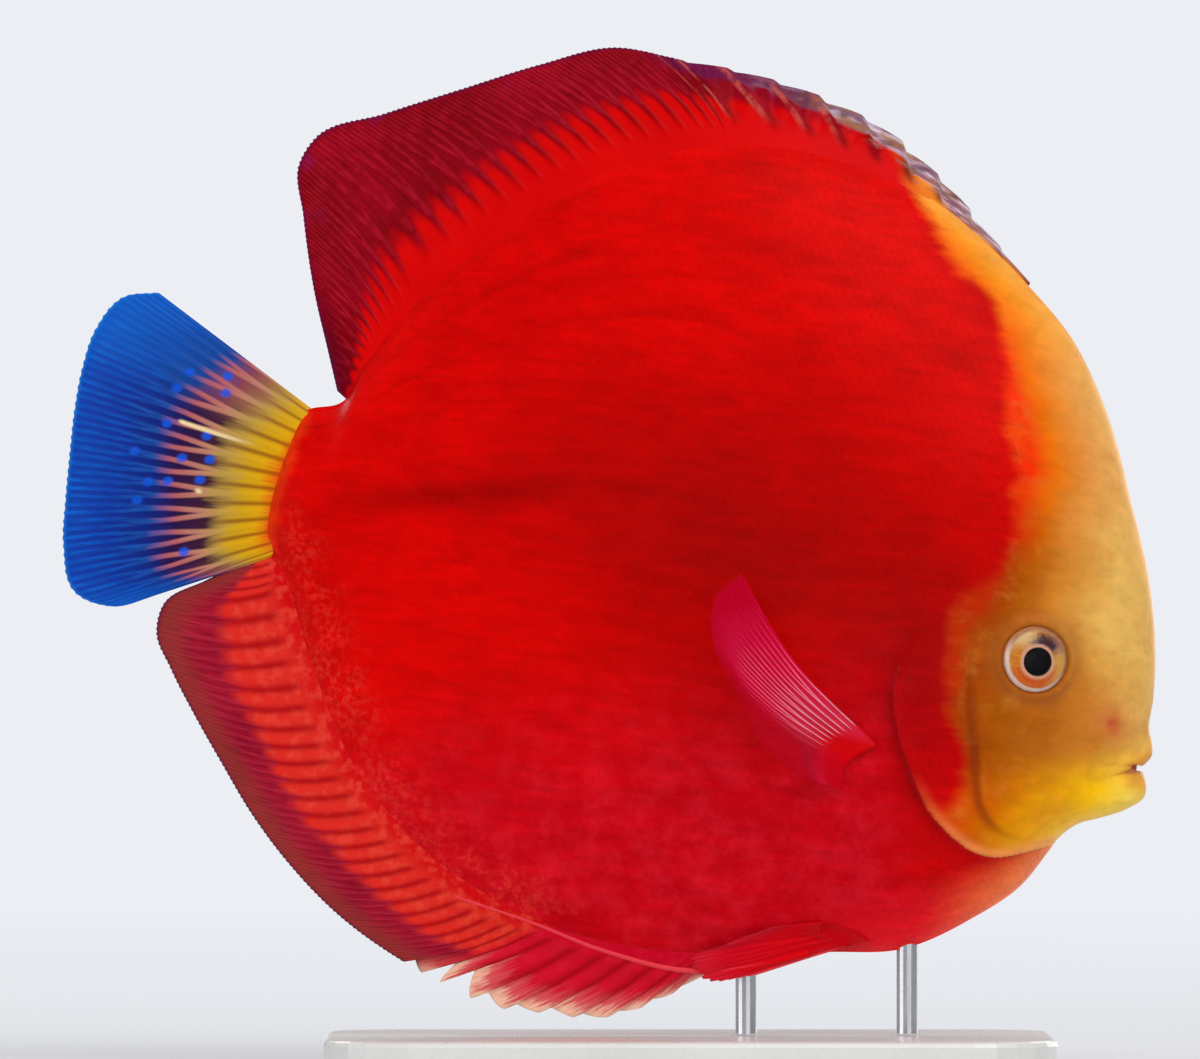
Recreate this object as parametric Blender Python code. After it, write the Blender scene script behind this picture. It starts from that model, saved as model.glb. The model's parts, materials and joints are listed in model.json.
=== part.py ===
"""A discus fish as a life-size still model on a plain display stand.

Sizes are millimetres, and mesh_object() turns them into metres. +X is the way the fish faces,
+Z is up, and the origin is the centre of the base's underside. Side-view places are (x, z)
pairs measured from the disc's centre, the middle of the round body.
"""

import math

import bmesh
import bpy
import numpy as np
from mathutils import Matrix, Vector
from mathutils.bvhtree import BVHTree

MM = 0.001
GAP = 0.3

# Where the disc's centre is above the base's underside
DISC_X = -10.0
DISC_HEIGHT = 77.2

# The body as rings from the mouth to the tail: highest point, lowest point, widest point, half width
BODY_RINGS = (
    ((71.6, -34.05), (71.6, -34.45), (69.9, -34.7), 2.6),  # inside the mouth
    ((74.0, -33.6), (74.0, -34.2), (69.5, -35.0), 3.4),  # where the lips meet
    ((75.9, -32.3), (75.1, -36.1), (69.0, -35.4), 4.4),  # crest of the lips
    ((76.0, -30.6), (74.9, -38.0), (68.3, -35.7), 4.9),
    ((75.6, -28.6), (72.6, -39.7), (67.0, -35.9), 5.5),  # foot of the lips
    ((76.2, -23.9), (68.9, -41.0), (64.0, -34.9), 7.7),  # chin
    ((76.5, -17.1), (65.3, -42.0), (59.7, -33.3), 10.4),
    ((75.7, -7.9), (62.6, -44.0), (54.3, -30.7), 13.0),  # eye
    ((73.3, 3.1), (61.1, -46.0), (48.6, -27.4), 14.6),  # throat
    ((69.3, 17.4), (57.4, -50.6), (41.4, -22.9), 15.0),  # gill opening
    ((64.3, 27.7), (50.3, -55.4), (32.9, -17.9), 14.8),
    ((58.6, 34.6), (40.7, -59.7), (22.9, -13.1), 14.0),  # nape and breast
    ((44.3, 47.4), (28.6, -60.3), (10.0, -8.6), 12.8),
    ((25.7, 56.4), (12.9, -62.1), (-2.9, -4.3), 11.3),  # vent
    ((4.3, 55.1), (-7.9, -58.9), (-15.7, -0.7), 9.5),
    ((-15.7, 44.9), (-25.0, -50.0), (-27.1, 2.1), 7.6),
    ((-29.3, 33.4), (-38.3, -35.0), (-35.7, 4.0), 6.0),
    ((-36.1, 24.7), (-44.7, -19.3), (-41.7, 5.1), 4.9),
    ((-39.7, 18.3), (-48.4, -7.6), (-45.4, 6.0), 4.1),  # tail base
    ((-45.0, 17.0), (-50.6, -2.3), (-48.1, 6.9), 3.0),  # foot of the tail fin
)
NAPE = 11
TAIL_END = 19
EDGE_POWER = (1.0, 1.25)  # at the mouth and at the tail: 1 makes a ring an ellipse, more draws its edges in
EDGE_HALF = (0.25, 0.85)  # half width of the flat edge, over the face and where it carries the fins
EDGE_FROM, EDGE_TO = 8.0, 11.0
STATIONS_HEAD = 26
STATIONS_TRUNK = 26
LIP_CROWDING = 1.15  # above 1, the head's stations draw together over the lips
RING_SIDES = 34
LINE_STEPS = 400  # how finely a line is read where its length or its nearest point is sought

# Cuts that part the body, from the back down to the belly
HEAD_CUT = (
    (62.0, 40.0), (58.2, 28.0), (56.0, 18.0), (53.5, 8.0), (50.5, -3.0), (46.5, -12.0),
    (43.8, -20.0), (43.4, -28.0), (45.0, -35.0), (48.5, -40.0), (54.0, -43.6), (66.0, -48.4),
)
TAIL_CUT = ((-35.8, 40.0), (-38.4, 27.0), (-42.9, 7.0), (-46.0, -13.0), (-50.5, -34.0))
CUT_REACH = 30.0  # half width of a cut's walls
CUT_FAR = 120.0

# Eye
EYE_AT = (59.1, -18.4)
EYE_RADIUS = 4.9
EYE_HALF_DEPTH = 3.1
EYE_SUNK = 1.3  # how far its centre is below the cheek
EYE_MESH = (12, 20)  # rings and sides

# Nostril
NOSTRIL_AT = (70.0, -27.7)
NOSTRIL_RADIUS = 0.75
NOSTRIL_MESH = (5, 8)

# Gill cover, from its top round to the throat: its front edge and its free edge
GILL_FRONT = ((46.8, -11.6), (50.6, -19.0), (50.3, -30.0), (51.4, -38.6), (55.0, -42.0), (58.0, -43.1))
GILL_REAR = ((43.2, -13.4), (38.9, -22.5), (40.7, -32.5), (45.4, -41.6), (52.0, -46.1), (57.6, -45.6))
GILL_FLUSH = 0.25
GILL_PROUD = 0.95
GILL_DEPTH = 1.2
GILL_GRID = (15, 5)  # points along it and across it
RECESS_OVER = 2.0  # how far a recess's cutter stands over the cover

# Fins: the body station that a ray grows from, and where its tip is
DORSAL_RAYS = (
    (11.0, (58.6, 35.3)), (11.28, (54.3, 40.6)), (11.72, (46.9, 49.4)), (12.15, (38.6, 56.9)),
    (12.5, (28.6, 62.1)), (12.9, (17.4, 65.6)), (13.3, (8.6, 67.3)), (13.7, (-1.1, 69.0)),
    (14.07, (-11.4, 66.6)), (14.5, (-22.9, 63.0)), (14.93, (-33.6, 59.6)), (15.45, (-43.7, 56.0)),
    (15.9, (-45.9, 52.4)), (16.4, (-45.3, 45.0)), (17.0, (-43.7, 34.0)), (17.6, (-41.7, 25.4)),
    (17.95, (-40.4, 19.9)),
)
ANAL_RAYS = (
    (13.0, (12.0, -63.6)), (13.3, (4.6, -67.6)), (13.6, (-2.9, -69.7)), (13.9, (-10.7, -69.0)),
    (14.2, (-18.3, -68.0)), (14.5, (-25.7, -64.6)), (14.8, (-32.1, -61.0)), (15.15, (-40.3, -55.0)),
    (15.5, (-47.1, -48.0)), (15.85, (-52.6, -40.7)), (16.25, (-57.1, -33.1)), (16.65, (-61.1, -26.0)),
    (17.05, (-64.3, -19.7)), (17.5, (-66.3, -14.6)), (17.9, (-65.3, -10.6)), (18.4, (-59.3, -7.2)),
    (18.9, (-52.9, -4.3)),
)
DORSAL_PARTS = (9, 6, 31)  # spines, the place in the table where they end, soft rays
ANAL_PARTS = (8, 5, 29)
DORSAL_NOTCHES = (0.12, 0.02)  # depth of the edge's notches between spines and between soft rays, as shares
ANAL_NOTCHES = (0.14, 0.03)
DORSAL_BOW = -0.06  # how far a ray bends to one side at mid length, as a share of it
ANAL_BOW = 0.05
FIN_ROWS = 7  # rows of points from a fin's root to its edge

# Tail fin: share of the way down the tail's end, and where the ray's tip is
TAIL_RAYS = (
    (0.0, (-66.0, 34.0)), (0.07, (-71.1, 33.3)), (0.16, (-74.9, 28.9)), (0.28, (-76.9, 23.1)),
    (0.40, (-78.0, 17.1)), (0.52, (-78.7, 10.7)), (0.64, (-79.3, 4.3)), (0.76, (-79.6, -2.1)),
    (0.87, (-77.9, -8.9)), (0.94, (-72.9, -10.9)), (1.0, (-65.7, -9.1)),
)
TAIL_RAY_COUNT = 14
TAIL_ROWS = 8
TAIL_NOTCH = 0.02
TAIL_MARGIN = 0.03  # share of the tail's end left free at each end of the root
FORK_FROM, FORK_OVER = 0.3, 0.35  # where along a ray its fork starts, and how long it takes to open
FORK_DIP = 0.75  # how much of the ray's height its middle loses there

# Paired fins: foot of a ray on the flank and its tip, in side view, and the tip's distance from the
# fish's middle plane
PECTORAL_RAYS = (
    ((36.0, -30.1), (17.1, -6.0), 27.0), ((34.1, -31.0), (13.4, -8.6), 26.6),
    ((32.9, -32.0), (12.3, -14.0), 25.8), ((31.9, -33.3), (13.6, -21.0), 24.6),
    ((31.3, -34.8), (16.6, -27.4), 23.2), ((31.1, -36.4), (23.0, -33.6), 21.4),
)
PECTORAL_RAY_COUNT = 12
PECTORAL_FOOT = (1.3, 0.0)  # half width of the root row, and how far out its leading edge is
PELVIC_FOOT = (0.3, 1.3)
PELVIC_RAYS = (
    ((35.4, -58.8), (19.0, -63.6), 3.4), ((34.1, -57.9), (11.2, -63.6), 3.7),
    ((32.8, -57.2), (10.0, -61.6), 4.2), ((31.5, -56.6), (14.6, -59.2), 5.0),
    ((30.2, -56.2), (21.5, -56.6), 5.6),
)
FILAMENT = ((20.0, -61.9), (11.4, -62.9), (-2.9, -59.8), (-12.0, -56.2), (-23.4, -52.3))
FILAMENT_OUT = 3.5
FILAMENT_HALF_WIDTH = (0.9, 0.25)
FILAMENT_ROWS = 10

# Half thickness of a fin's ray and of its membrane, at the root and at the edge
RAY_HALF = (0.85, 0.44)
WEB_HALF = (0.52, 0.26)
FOLD = 0.6  # how far the dorsal fin's front membrane waves to each side at its edge
FOLD_FULL_AT = 6.0  # height of the fin where its waves are nearly full
FOLD_FROM = 0.3  # share of that height where they start

FLANK_CLEARANCE = 0.35  # between the flank and a paired fin that lies along it

# Stand
BASE_LENGTH, BASE_DEPTH, BASE_HEIGHT = 104.0, 78.0, 5.0
BASE_CORNER, BASE_BEVEL = 12.0, 0.8
CORNER_POINTS = 7
ROD_RADIUS = 1.5
ROD_SIDES = 16
ROD_DEPTH = 5.0  # how far a rod goes into the belly
RODS = {"stand_rod_front": 41.0, "stand_rod_rear": 18.0}  # place along the belly, from the disc's centre

SHARP_ANGLE = math.radians(50)  # edges that turn more than this aren't shaded smooth
TINY = 1e-6

MATERIALS = {
    "skin_red": ((0.62, 0.004, 0.004), 0.35),
    "skin_head": ((0.72, 0.30, 0.05), 0.35),
    "fin_red": ((0.36, 0.003, 0.012), 0.4),
    "fin_anal": ((0.60, 0.05, 0.04), 0.4),
    "fin_tail": ((0.20, 0.33, 0.62), 0.35),
    "fin_pectoral": ((0.66, 0.06, 0.12), 0.4),
    "eye": ((0.75, 0.36, 0.04), 0.08),
    "acrylic": ((0.62, 0.62, 0.60), 0.3),
    "steel": ((0.55, 0.56, 0.58), 0.28),
}


def clear_scene():
    for obj in list(bpy.data.objects):
        bpy.data.objects.remove(obj, do_unlink=True)


def material(name):
    made = bpy.data.materials.get(name)
    if made is None:
        colour, roughness = MATERIALS[name]
        made = bpy.data.materials.new(name)
        made.use_nodes = True
        shader = made.node_tree.nodes["Principled BSDF"]
        shader.inputs["Base Color"].default_value = (*colour, 1.0)
        shader.inputs["Roughness"].default_value = roughness
        shader.inputs["Metallic"].default_value = 1.0 if name == "steel" else 0.0
    return made


def mesh_object(name, points, faces, finish=None):
    """A mesh from points in millimetres, its faces turned outwards, shaded smooth."""
    mesh = bpy.data.meshes.new(name)
    mesh.from_pydata([tuple(p) for p in np.asarray(points, float) * MM], [], faces)
    shape = bmesh.new()
    shape.from_mesh(mesh)
    bmesh.ops.recalc_face_normals(shape, faces=shape.faces)
    shape.to_mesh(mesh)
    shape.free()
    obj = bpy.data.objects.new(name, mesh)
    bpy.context.scene.collection.objects.link(obj)
    if finish:
        mesh.materials.append(material(finish))
        mesh.shade_smooth()
        mesh.set_sharp_from_angle(angle=SHARP_ANGLE)
    return obj


def through(points, at):
    """The smooth curve through the points, read at point numbers that may lie between them."""
    p = np.asarray(points, float)
    steps = np.diff(p, axis=0)
    lengths = np.linalg.norm(steps, axis=1)[:, None]
    ways = steps / lengths
    turns = ways[:-1] * lengths[1:] + ways[1:] * lengths[:-1]
    turns /= np.linalg.norm(turns, axis=1)[:, None]
    turns = np.vstack([ways[:1], turns, ways[-1:]])
    at = np.atleast_1d(np.asarray(at, float))
    i = np.clip(at.astype(int), 0, len(p) - 2)
    t = (at - i)[:, None]
    span = lengths[i]
    return (
        p[i] * (2 * t**3 - 3 * t**2 + 1)
        + turns[i] * span * (t**3 - 2 * t**2 + t)
        + p[i + 1] * (3 * t**2 - 2 * t**3)
        + turns[i + 1] * span * (t**3 - t**2)
    )


def between(values, at):
    """A number read off a smooth line through evenly spaced values."""
    numbers = np.column_stack([np.arange(len(values), dtype=float), values])
    return through(numbers, at)[:, 1]


def back_line(at):
    return through([ring[0] for ring in BODY_RINGS], at)


def belly_line(at):
    return through([ring[1] for ring in BODY_RINGS], at)


def placed(side, y):
    """Side-view places and how far each is to the side, as points in the model's frame."""
    side = np.asarray(side, float)
    return np.column_stack([side[:, 0] + DISC_X, np.broadcast_to(y, len(side)), side[:, 1] + DISC_HEIGHT])


def body_stations():
    """Station numbers, close together over the lips and the head."""
    head = NAPE * np.linspace(0, 1, STATIONS_HEAD + 1) ** LIP_CROWDING
    trunk = np.linspace(NAPE, TAIL_END, STATIONS_TRUNK + 1)
    return np.concatenate([head, trunk[1:]])


def quarter_turns():
    """The angles of a ring's points, two of them at the very top and two at the very bottom."""
    right = np.linspace(-math.pi / 2, math.pi / 2, RING_SIDES // 2)
    right[0] += TINY
    right[-1] -= TINY
    return np.concatenate([right, right + math.pi])


def body_mesh():
    """The whole body, from the mouth to the tail fin's foot, as (points, faces)."""
    at = body_stations()
    high, low = back_line(at), belly_line(at)
    wide = through([ring[2] for ring in BODY_RINGS], at)
    half = between([ring[3] for ring in BODY_RINGS], at)
    turn = quarter_turns()
    power = fade(EDGE_POWER, at / TAIL_END)
    edge = fade(EDGE_HALF, np.clip((at - EDGE_FROM) / (EDGE_TO - EDGE_FROM), 0, 1))
    points = []
    for k in range(len(at)):
        rise = np.sin(turn)[:, None]
        side = wide[k] + np.where(rise > 0, (high[k] - wide[k]) * rise, (wide[k] - low[k]) * rise)
        across = np.abs(np.cos(turn)) ** power[k] * half[k]
        across = np.maximum(across, edge[k]) * np.sign(np.cos(turn))
        points.append(placed(side, across))
    count = len(at)
    faces = [
        (k * RING_SIDES + j, k * RING_SIDES + (j + 1) % RING_SIDES,
         (k + 1) * RING_SIDES + (j + 1) % RING_SIDES, (k + 1) * RING_SIDES + j)
        for k in range(count - 1)
        for j in range(RING_SIDES)
    ]
    faces.append(tuple(range(RING_SIDES)))
    faces.append(tuple((count - 1) * RING_SIDES + j for j in range(RING_SIDES)))
    return np.concatenate(points), faces


class Flank:
    """The body's surface, found from the side."""

    def __init__(self, points, faces):
        self.tree = BVHTree.FromPolygons([Vector(p) for p in points], faces)

    def at(self, place, side, out=0.0):
        """The point of the flank at a side-view place, moved out along the surface's normal."""
        start = Vector((place[0] + DISC_X, side * CUT_FAR, place[1] + DISC_HEIGHT))
        hit, normal, _, _ = self.tree.ray_cast(start, Vector((0, -side, 0)))
        if normal.y * side < 0:
            normal = -normal
        return np.array(hit + normal * out)

    def clear(self, point, side, distance):
        """The point, moved out sideways where it would be nearer to the flank than the distance."""
        start = Vector((point[0], side * CUT_FAR, point[2]))
        hit = self.tree.ray_cast(start, Vector((0, -side, 0)))[0]
        if hit is None or side * (point[1] - hit.y) > distance:
            return point
        return np.array((point[0], hit.y + side * distance, point[2]))


def sheet_faces(rows, columns):
    """Triangles of a closed sheet: two like faces of rows x columns points, and the walls round them."""
    def front(r, c):
        return r * columns + c

    def back(r, c):
        return rows * columns + r * columns + c

    faces = []
    for r in range(rows - 1):
        for c in range(columns - 1):
            a, b, d, e = (r, c), (r, c + 1), (r + 1, c + 1), (r + 1, c)
            faces += [(front(*a), front(*b), front(*d)), (front(*a), front(*d), front(*e))]
            faces += [(back(*a), back(*d), back(*b)), (back(*a), back(*e), back(*d))]
    rim = [(0, c) for c in range(columns)] + [(r, columns - 1) for r in range(1, rows)]
    rim += [(rows - 1, c) for c in range(columns - 2, -1, -1)] + [(r, 0) for r in range(rows - 2, 0, -1)]
    for k, a in enumerate(rim):
        b = rim[(k + 1) % len(rim)]
        faces += [(front(*b), front(*a), back(*a)), (front(*b), back(*a), back(*b))]
    return faces


def sheet_object(name, front, back, finish):
    rows, columns, _ = front.shape
    points = np.concatenate([front.reshape(-1, 3), back.reshape(-1, 3)])
    return mesh_object(name, points, sheet_faces(rows, columns), finish)


def fade(pair, share):
    return pair[0] + (pair[1] - pair[0]) * share


def fork(v):
    """How far the soft rays of the tail have forked, part of the way v to their tips."""
    t = np.clip((v - FORK_FROM) / FORK_OVER, 0, 1)
    return t * t * (3 - 2 * t)


def ridge(columns, v, forked=False):
    """How much of a ray each column of a fin is: 1 on a ray, 0 in the middle of the web."""
    place = np.arange(columns)
    if not forked:
        return (place % 2 == 0).astype(float)
    middle, branch = 1 - FORK_DIP * fork(v), (1 + fork(v)) / 2
    return np.select([place % 4 == 0, place % 2 == 1], [middle, branch], 0.0)


def fin_half(columns, v, forked=False):
    web, ray = fade(WEB_HALF, v), fade(RAY_HALF, v)
    return web + (ray - web) * ridge(columns, v, forked)


def evenly(line, first, last, count):
    """Point numbers from first to last, at equal steps of the line's length."""
    fine = np.linspace(first, last, LINE_STEPS)
    steps = np.linalg.norm(np.diff(line(fine), axis=0), axis=1)
    far = np.concatenate([[0.0], np.cumsum(steps)])
    return np.interp(np.linspace(0, far[-1], count), far, fine)


def flat_fin(name, root, tip, finish, notch, bow, fold=0.0, forked=False, rows=FIN_ROWS):
    """A fin in the fish's middle plane, with its rays as ridges and its web notched between them."""
    columns = len(root)
    tip = root + (tip - root) * (1 - notch * (1 - ridge(columns, 1.0, forked)))[:, None]
    ray = tip - root
    aside = np.column_stack([-ray[:, 1], ray[:, 0]]) * bow
    height = np.linalg.norm(ray, axis=1)
    waves = fold * np.sin(np.arange(columns) * math.pi / 2) 
    waves *= np.clip(height / FOLD_FULL_AT - FOLD_FROM, 0, 1)
    front, back = [], []
    for v in np.linspace(0, 1, rows):
        side = root + ray * v + aside * math.sin(math.pi * v)
        half = fin_half(columns, v, forked)
        front.append(placed(side, waves * v * v - half))
        back.append(placed(side, waves * v * v + half))
    return sheet_object(name, np.array(front), np.array(back), finish)


def edge_fin(names, line, way, rays, parts, finish, notches, bow, fold):
    """The dorsal or the anal fin: its spines and its soft rays, along the back's or the belly's edge."""
    spines, border, soft = parts
    stations = [ray[0] for ray in rays]
    tips = [ray[1] for ray in rays]
    last = len(rays) - 1

    def foot(number):
        return off_line(line, np.interp(number, np.arange(last + 1), stations), way)

    gap = GAP / 2 / np.linalg.norm(foot(border) - foot(border - 1))
    for name, start, end, count, notch, wave in (
        (names[0], 0, border - gap, spines, notches[0], fold),
        (names[1], border + gap, last, soft, notches[1], 0.0),
    ):
        number = evenly(foot, start, end, 2 * count - 1)
        flat_fin(name, foot(number), through(tips, number), finish, notch, bow, wave)


def off_line(line, at, way):
    """Points just clear of the body's edge: way is 1 to go out over the back, -1 under the belly."""
    at = np.atleast_1d(at)
    here = line(at)
    ahead = line(at + 0.01) - line(at - 0.01)
    out = np.column_stack([ahead[:, 1], -ahead[:, 0]]) * way
    out /= np.linalg.norm(out, axis=1)[:, None]
    return here + out * GAP


def tail_fin():
    top, bottom = (np.array(p) for p in BODY_RINGS[TAIL_END][:2])
    out = np.array([bottom[1] - top[1], top[0] - bottom[0]])
    out /= np.linalg.norm(out)
    number = np.linspace(0, len(TAIL_RAYS) - 1, 4 * TAIL_RAY_COUNT - 3)
    share = between([ray[0] for ray in TAIL_RAYS], number)[:, None]
    root = top + (bottom - top) * (TAIL_MARGIN + (1 - 2 * TAIL_MARGIN) * share) + out * GAP
    tip = through([ray[1] for ray in TAIL_RAYS], number)
    return flat_fin("caudal_fin", root, tip, "fin_tail", TAIL_NOTCH, 0.0, forked=True, rows=TAIL_ROWS)


def paired_fin(name, flank, rays, side, finish, count, foot_shape):
    """A fin that leaves the flank: its root row lies along the body, its tips stand out from it."""
    half_width, rise = foot_shape
    columns = 2 * count - 1
    number = np.linspace(0, len(rays) - 1, columns)
    foot = through([ray[0] for ray in rays], number)
    tip = through([ray[1] for ray in rays], number)
    along = np.gradient(foot, axis=0)
    across = np.column_stack([along[:, 1], -along[:, 0]])
    across /= np.linalg.norm(across, axis=1)[:, None]
    across *= -np.sign((across * (tip - foot)).sum(axis=1))[:, None]
    lead = np.array([flank.at(p, side, GAP + rise) for p in foot + across * half_width])
    trail = np.array([flank.at(p, side, GAP) for p in foot - across * half_width])
    root = (lead + trail) / 2
    end = placed(tip, side * between([ray[2] for ray in rays], number))
    plane = np.cross(end.mean(axis=0) - root.mean(axis=0), root[-1] - root[0])
    plane *= side * np.sign(plane[1]) / np.linalg.norm(plane)
    front, back = [lead], [trail]
    for v in np.linspace(0, 1, FIN_ROWS)[1:]:
        half = fin_half(columns, v)
        middle = root + (end - root) * v
        middle = np.array([flank.clear(p, side, half.max() + FLANK_CLEARANCE) for p in middle])
        front.append(middle + plane * half[:, None])
        back.append(middle - plane * half[:, None])
    return sheet_object(name, np.array(front), np.array(back), finish)


def pelvic_filament(name, flank, side):
    """The long thread that the pelvic fin's leading rays end in."""
    line = through(FILAMENT, np.linspace(0, len(FILAMENT) - 1, FILAMENT_ROWS))
    along = np.gradient(line, axis=0)
    across = np.column_stack([-along[:, 1], along[:, 0]])
    across /= np.linalg.norm(across, axis=1)[:, None]
    front, back = [], []
    for k in range(FILAMENT_ROWS):
        v = k / (FILAMENT_ROWS - 1)
        width = fade(FILAMENT_HALF_WIDTH, v)
        half = np.array((WEB_HALF[1], fade(RAY_HALF, v), WEB_HALF[1]))
        side_view = line[k] + np.outer((-width, 0, width), across[k])
        middle = placed(side_view, side * FILAMENT_OUT)
        middle = np.array([flank.clear(p, side, half.max() + FLANK_CLEARANCE) for p in middle])
        front.append(middle + np.outer(half, (0, side, 0)))
        back.append(middle - np.outer(half, (0, side, 0)))
    return sheet_object(name, np.array(front), np.array(back), None)


def ball(name, centre, facing, radius, half_depth, fineness, finish=None):
    """A ball drawn in along the way that it faces."""
    mesh = bpy.data.meshes.new(name)
    shape = bmesh.new()
    rings, sides = fineness
    bmesh.ops.create_uvsphere(shape, u_segments=sides, v_segments=rings, radius=1.0)
    size = Matrix.Diagonal((radius * MM, radius * MM, half_depth * MM, 1.0))
    turn = Vector(facing).to_track_quat("Z", "Y").to_matrix().to_4x4()
    place = Matrix.Translation(Vector(centre) * MM)
    bmesh.ops.transform(shape, matrix=place @ turn @ size, verts=shape.verts)
    shape.to_mesh(mesh)
    shape.free()
    obj = bpy.data.objects.new(name, mesh)
    bpy.context.scene.collection.objects.link(obj)
    if finish:
        mesh.materials.append(material(finish))
        mesh.shade_smooth()
    return obj


def eye_ball(name, flank, side, grow, finish=None):
    centre = flank.at(EYE_AT, side, -EYE_SUNK)
    facing = flank.at(EYE_AT, side, 1.0) - centre
    return ball(name, centre, facing, EYE_RADIUS + grow, EYE_HALF_DEPTH + grow, EYE_MESH, finish)


def nostril(name, flank, side):
    centre = flank.at(NOSTRIL_AT, side)
    facing = flank.at(NOSTRIL_AT, side, 1.0) - centre
    return ball(name, centre, facing, NOSTRIL_RADIUS, NOSTRIL_RADIUS, NOSTRIL_MESH)


def gill_sheet(name, flank, side, flush, proud, depth, grow, finish=None):
    """A gill cover as a curved plate let into the cheek: flush in front, proud at its free edge."""
    long_way = np.linspace(0, len(GILL_FRONT) - 1, GILL_GRID[0])
    front_edge, free_edge = through(GILL_FRONT, long_way), through(GILL_REAR, long_way)
    across = free_edge - front_edge
    width = np.linalg.norm(across, axis=1)[:, None]
    front_edge = front_edge - across / width * grow
    free_edge = free_edge + across / width * grow
    ends = (front_edge[1] - front_edge[0], front_edge[-1] - front_edge[-2])
    outer, inner = [], []
    for share in np.linspace(0, 1, GILL_GRID[1]):
        line = front_edge + (free_edge - front_edge) * share
        line[0] -= ends[0] / np.linalg.norm(ends[0]) * grow
        line[-1] += ends[1] / np.linalg.norm(ends[1]) * grow
        rise = flush + (proud - flush) * share
        outer.append([flank.at(p, side, rise) for p in line])
        inner.append([flank.at(p, side, -depth) for p in line])
    return sheet_object(name, np.array(outer), np.array(inner), finish)


def wall_faces(count):
    """Faces between two like outlines of so many points: the two ends and the wall round them."""
    faces = [tuple(range(count)), tuple(range(2 * count - 1, count - 1, -1))]
    faces += [(k, (k + 1) % count, count + (k + 1) % count, count + k) for k in range(count)]
    return faces


def prism(name, outline):
    """A wall of the given outline, from one side of the fish to the other."""
    near = placed(np.array(outline), -CUT_REACH)
    far = placed(np.array(outline), CUT_REACH)
    return mesh_object(name, np.concatenate([near, far]), wall_faces(len(outline)))


def shifted(cut, aside):
    """A cut's smooth line, moved aside: forwards for a positive amount."""
    line = through(cut, np.linspace(0, len(cut) - 1, 2 * len(cut) - 1))
    ahead = np.gradient(line, axis=0)
    out = np.column_stack([-ahead[:, 1], ahead[:, 0]])
    return line + out / np.linalg.norm(out, axis=1)[:, None] * aside


def combined(name, obj, steps, finish):
    """The object after its Boolean steps, applied, with only its largest closed surface kept."""
    for way, other in steps:
        step = obj.modifiers.new(way.lower(), "BOOLEAN")
        step.operation = way
        step.object = other
        step.solver = "EXACT"
    graph = bpy.context.evaluated_depsgraph_get()
    mesh = bpy.data.meshes.new_from_object(obj.evaluated_get(graph))
    mesh.name = name
    mesh.transform(obj.matrix_world)
    bpy.data.objects.remove(obj, do_unlink=True)
    keep_largest(mesh)
    mesh.materials.clear()
    mesh.materials.append(material(finish))
    mesh.shade_smooth()
    mesh.set_sharp_from_angle(angle=SHARP_ANGLE)
    made = bpy.data.objects.new(name, mesh)
    bpy.context.scene.collection.objects.link(made)
    return made


def keep_largest(mesh):
    shape = bmesh.new()
    shape.from_mesh(mesh)
    bmesh.ops.dissolve_degenerate(shape, dist=TINY, edges=shape.edges)
    left, bodies = set(shape.verts), []
    while left:
        found, ahead = set(), [left.pop()]
        while ahead:
            vert = ahead.pop()
            found.add(vert)
            for edge in vert.link_edges:
                other = edge.other_vert(vert)
                if other in left:
                    left.remove(other)
                    ahead.append(other)
        bodies.append(found)
    biggest = max(bodies, key=len)
    bmesh.ops.delete(shape, geom=[v for v in shape.verts if v not in biggest], context="VERTS")
    shape.to_mesh(mesh)
    shape.free()


def copied(obj):
    made = obj.copy()
    made.data = obj.data.copy()
    bpy.context.scene.collection.objects.link(made)
    return made


def rod_mesh(name, place, low, high, radius, finish=None):
    """An upright rod under the fish's middle plane."""
    turn = 2 * math.pi * np.arange(ROD_SIDES) / ROD_SIDES
    ring = np.column_stack([place + DISC_X + radius * np.cos(turn), radius * np.sin(turn)])
    points = [(x, y, low) for x, y in ring] + [(x, y, high) for x, y in ring]
    return mesh_object(name, points, wall_faces(ROD_SIDES), finish)


def belly_height(place):
    """How high the belly's lowest line is, above the base's underside, at a place along it."""
    at = np.linspace(EDGE_FROM, TAIL_END, LINE_STEPS)
    line = belly_line(at)
    return DISC_HEIGHT + float(line[np.argmin(np.abs(line[:, 0] - place)), 1])


def stand():
    for name, place in RODS.items():
        top = belly_height(place) + ROD_DEPTH
        rod_mesh(name, place, BASE_HEIGHT + GAP, top, ROD_RADIUS, "steel")
    half_x, half_y = BASE_LENGTH / 2, BASE_DEPTH / 2
    corners = ((1, 1, 0), (-1, 1, 90), (-1, -1, 180), (1, -1, 270))
    ring = []
    for sx, sy, first in corners:
        for turn in np.radians(first + np.linspace(0, 90, CORNER_POINTS)):
            ring.append((
                sx * (half_x - BASE_CORNER) + BASE_CORNER * math.cos(turn),
                sy * (half_y - BASE_CORNER) + BASE_CORNER * math.sin(turn),
            ))
    points = [(x, y, 0.0) for x, y in ring] + [(x, y, BASE_HEIGHT) for x, y in ring]
    base = mesh_object("stand_base", points, wall_faces(len(ring)), "acrylic")
    edge = base.modifiers.new("edge", "BEVEL")
    edge.width = BASE_BEVEL * MM
    edge.segments = 2
    edge.limit_method = "ANGLE"
    edge.angle_limit = math.radians(60)


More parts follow.
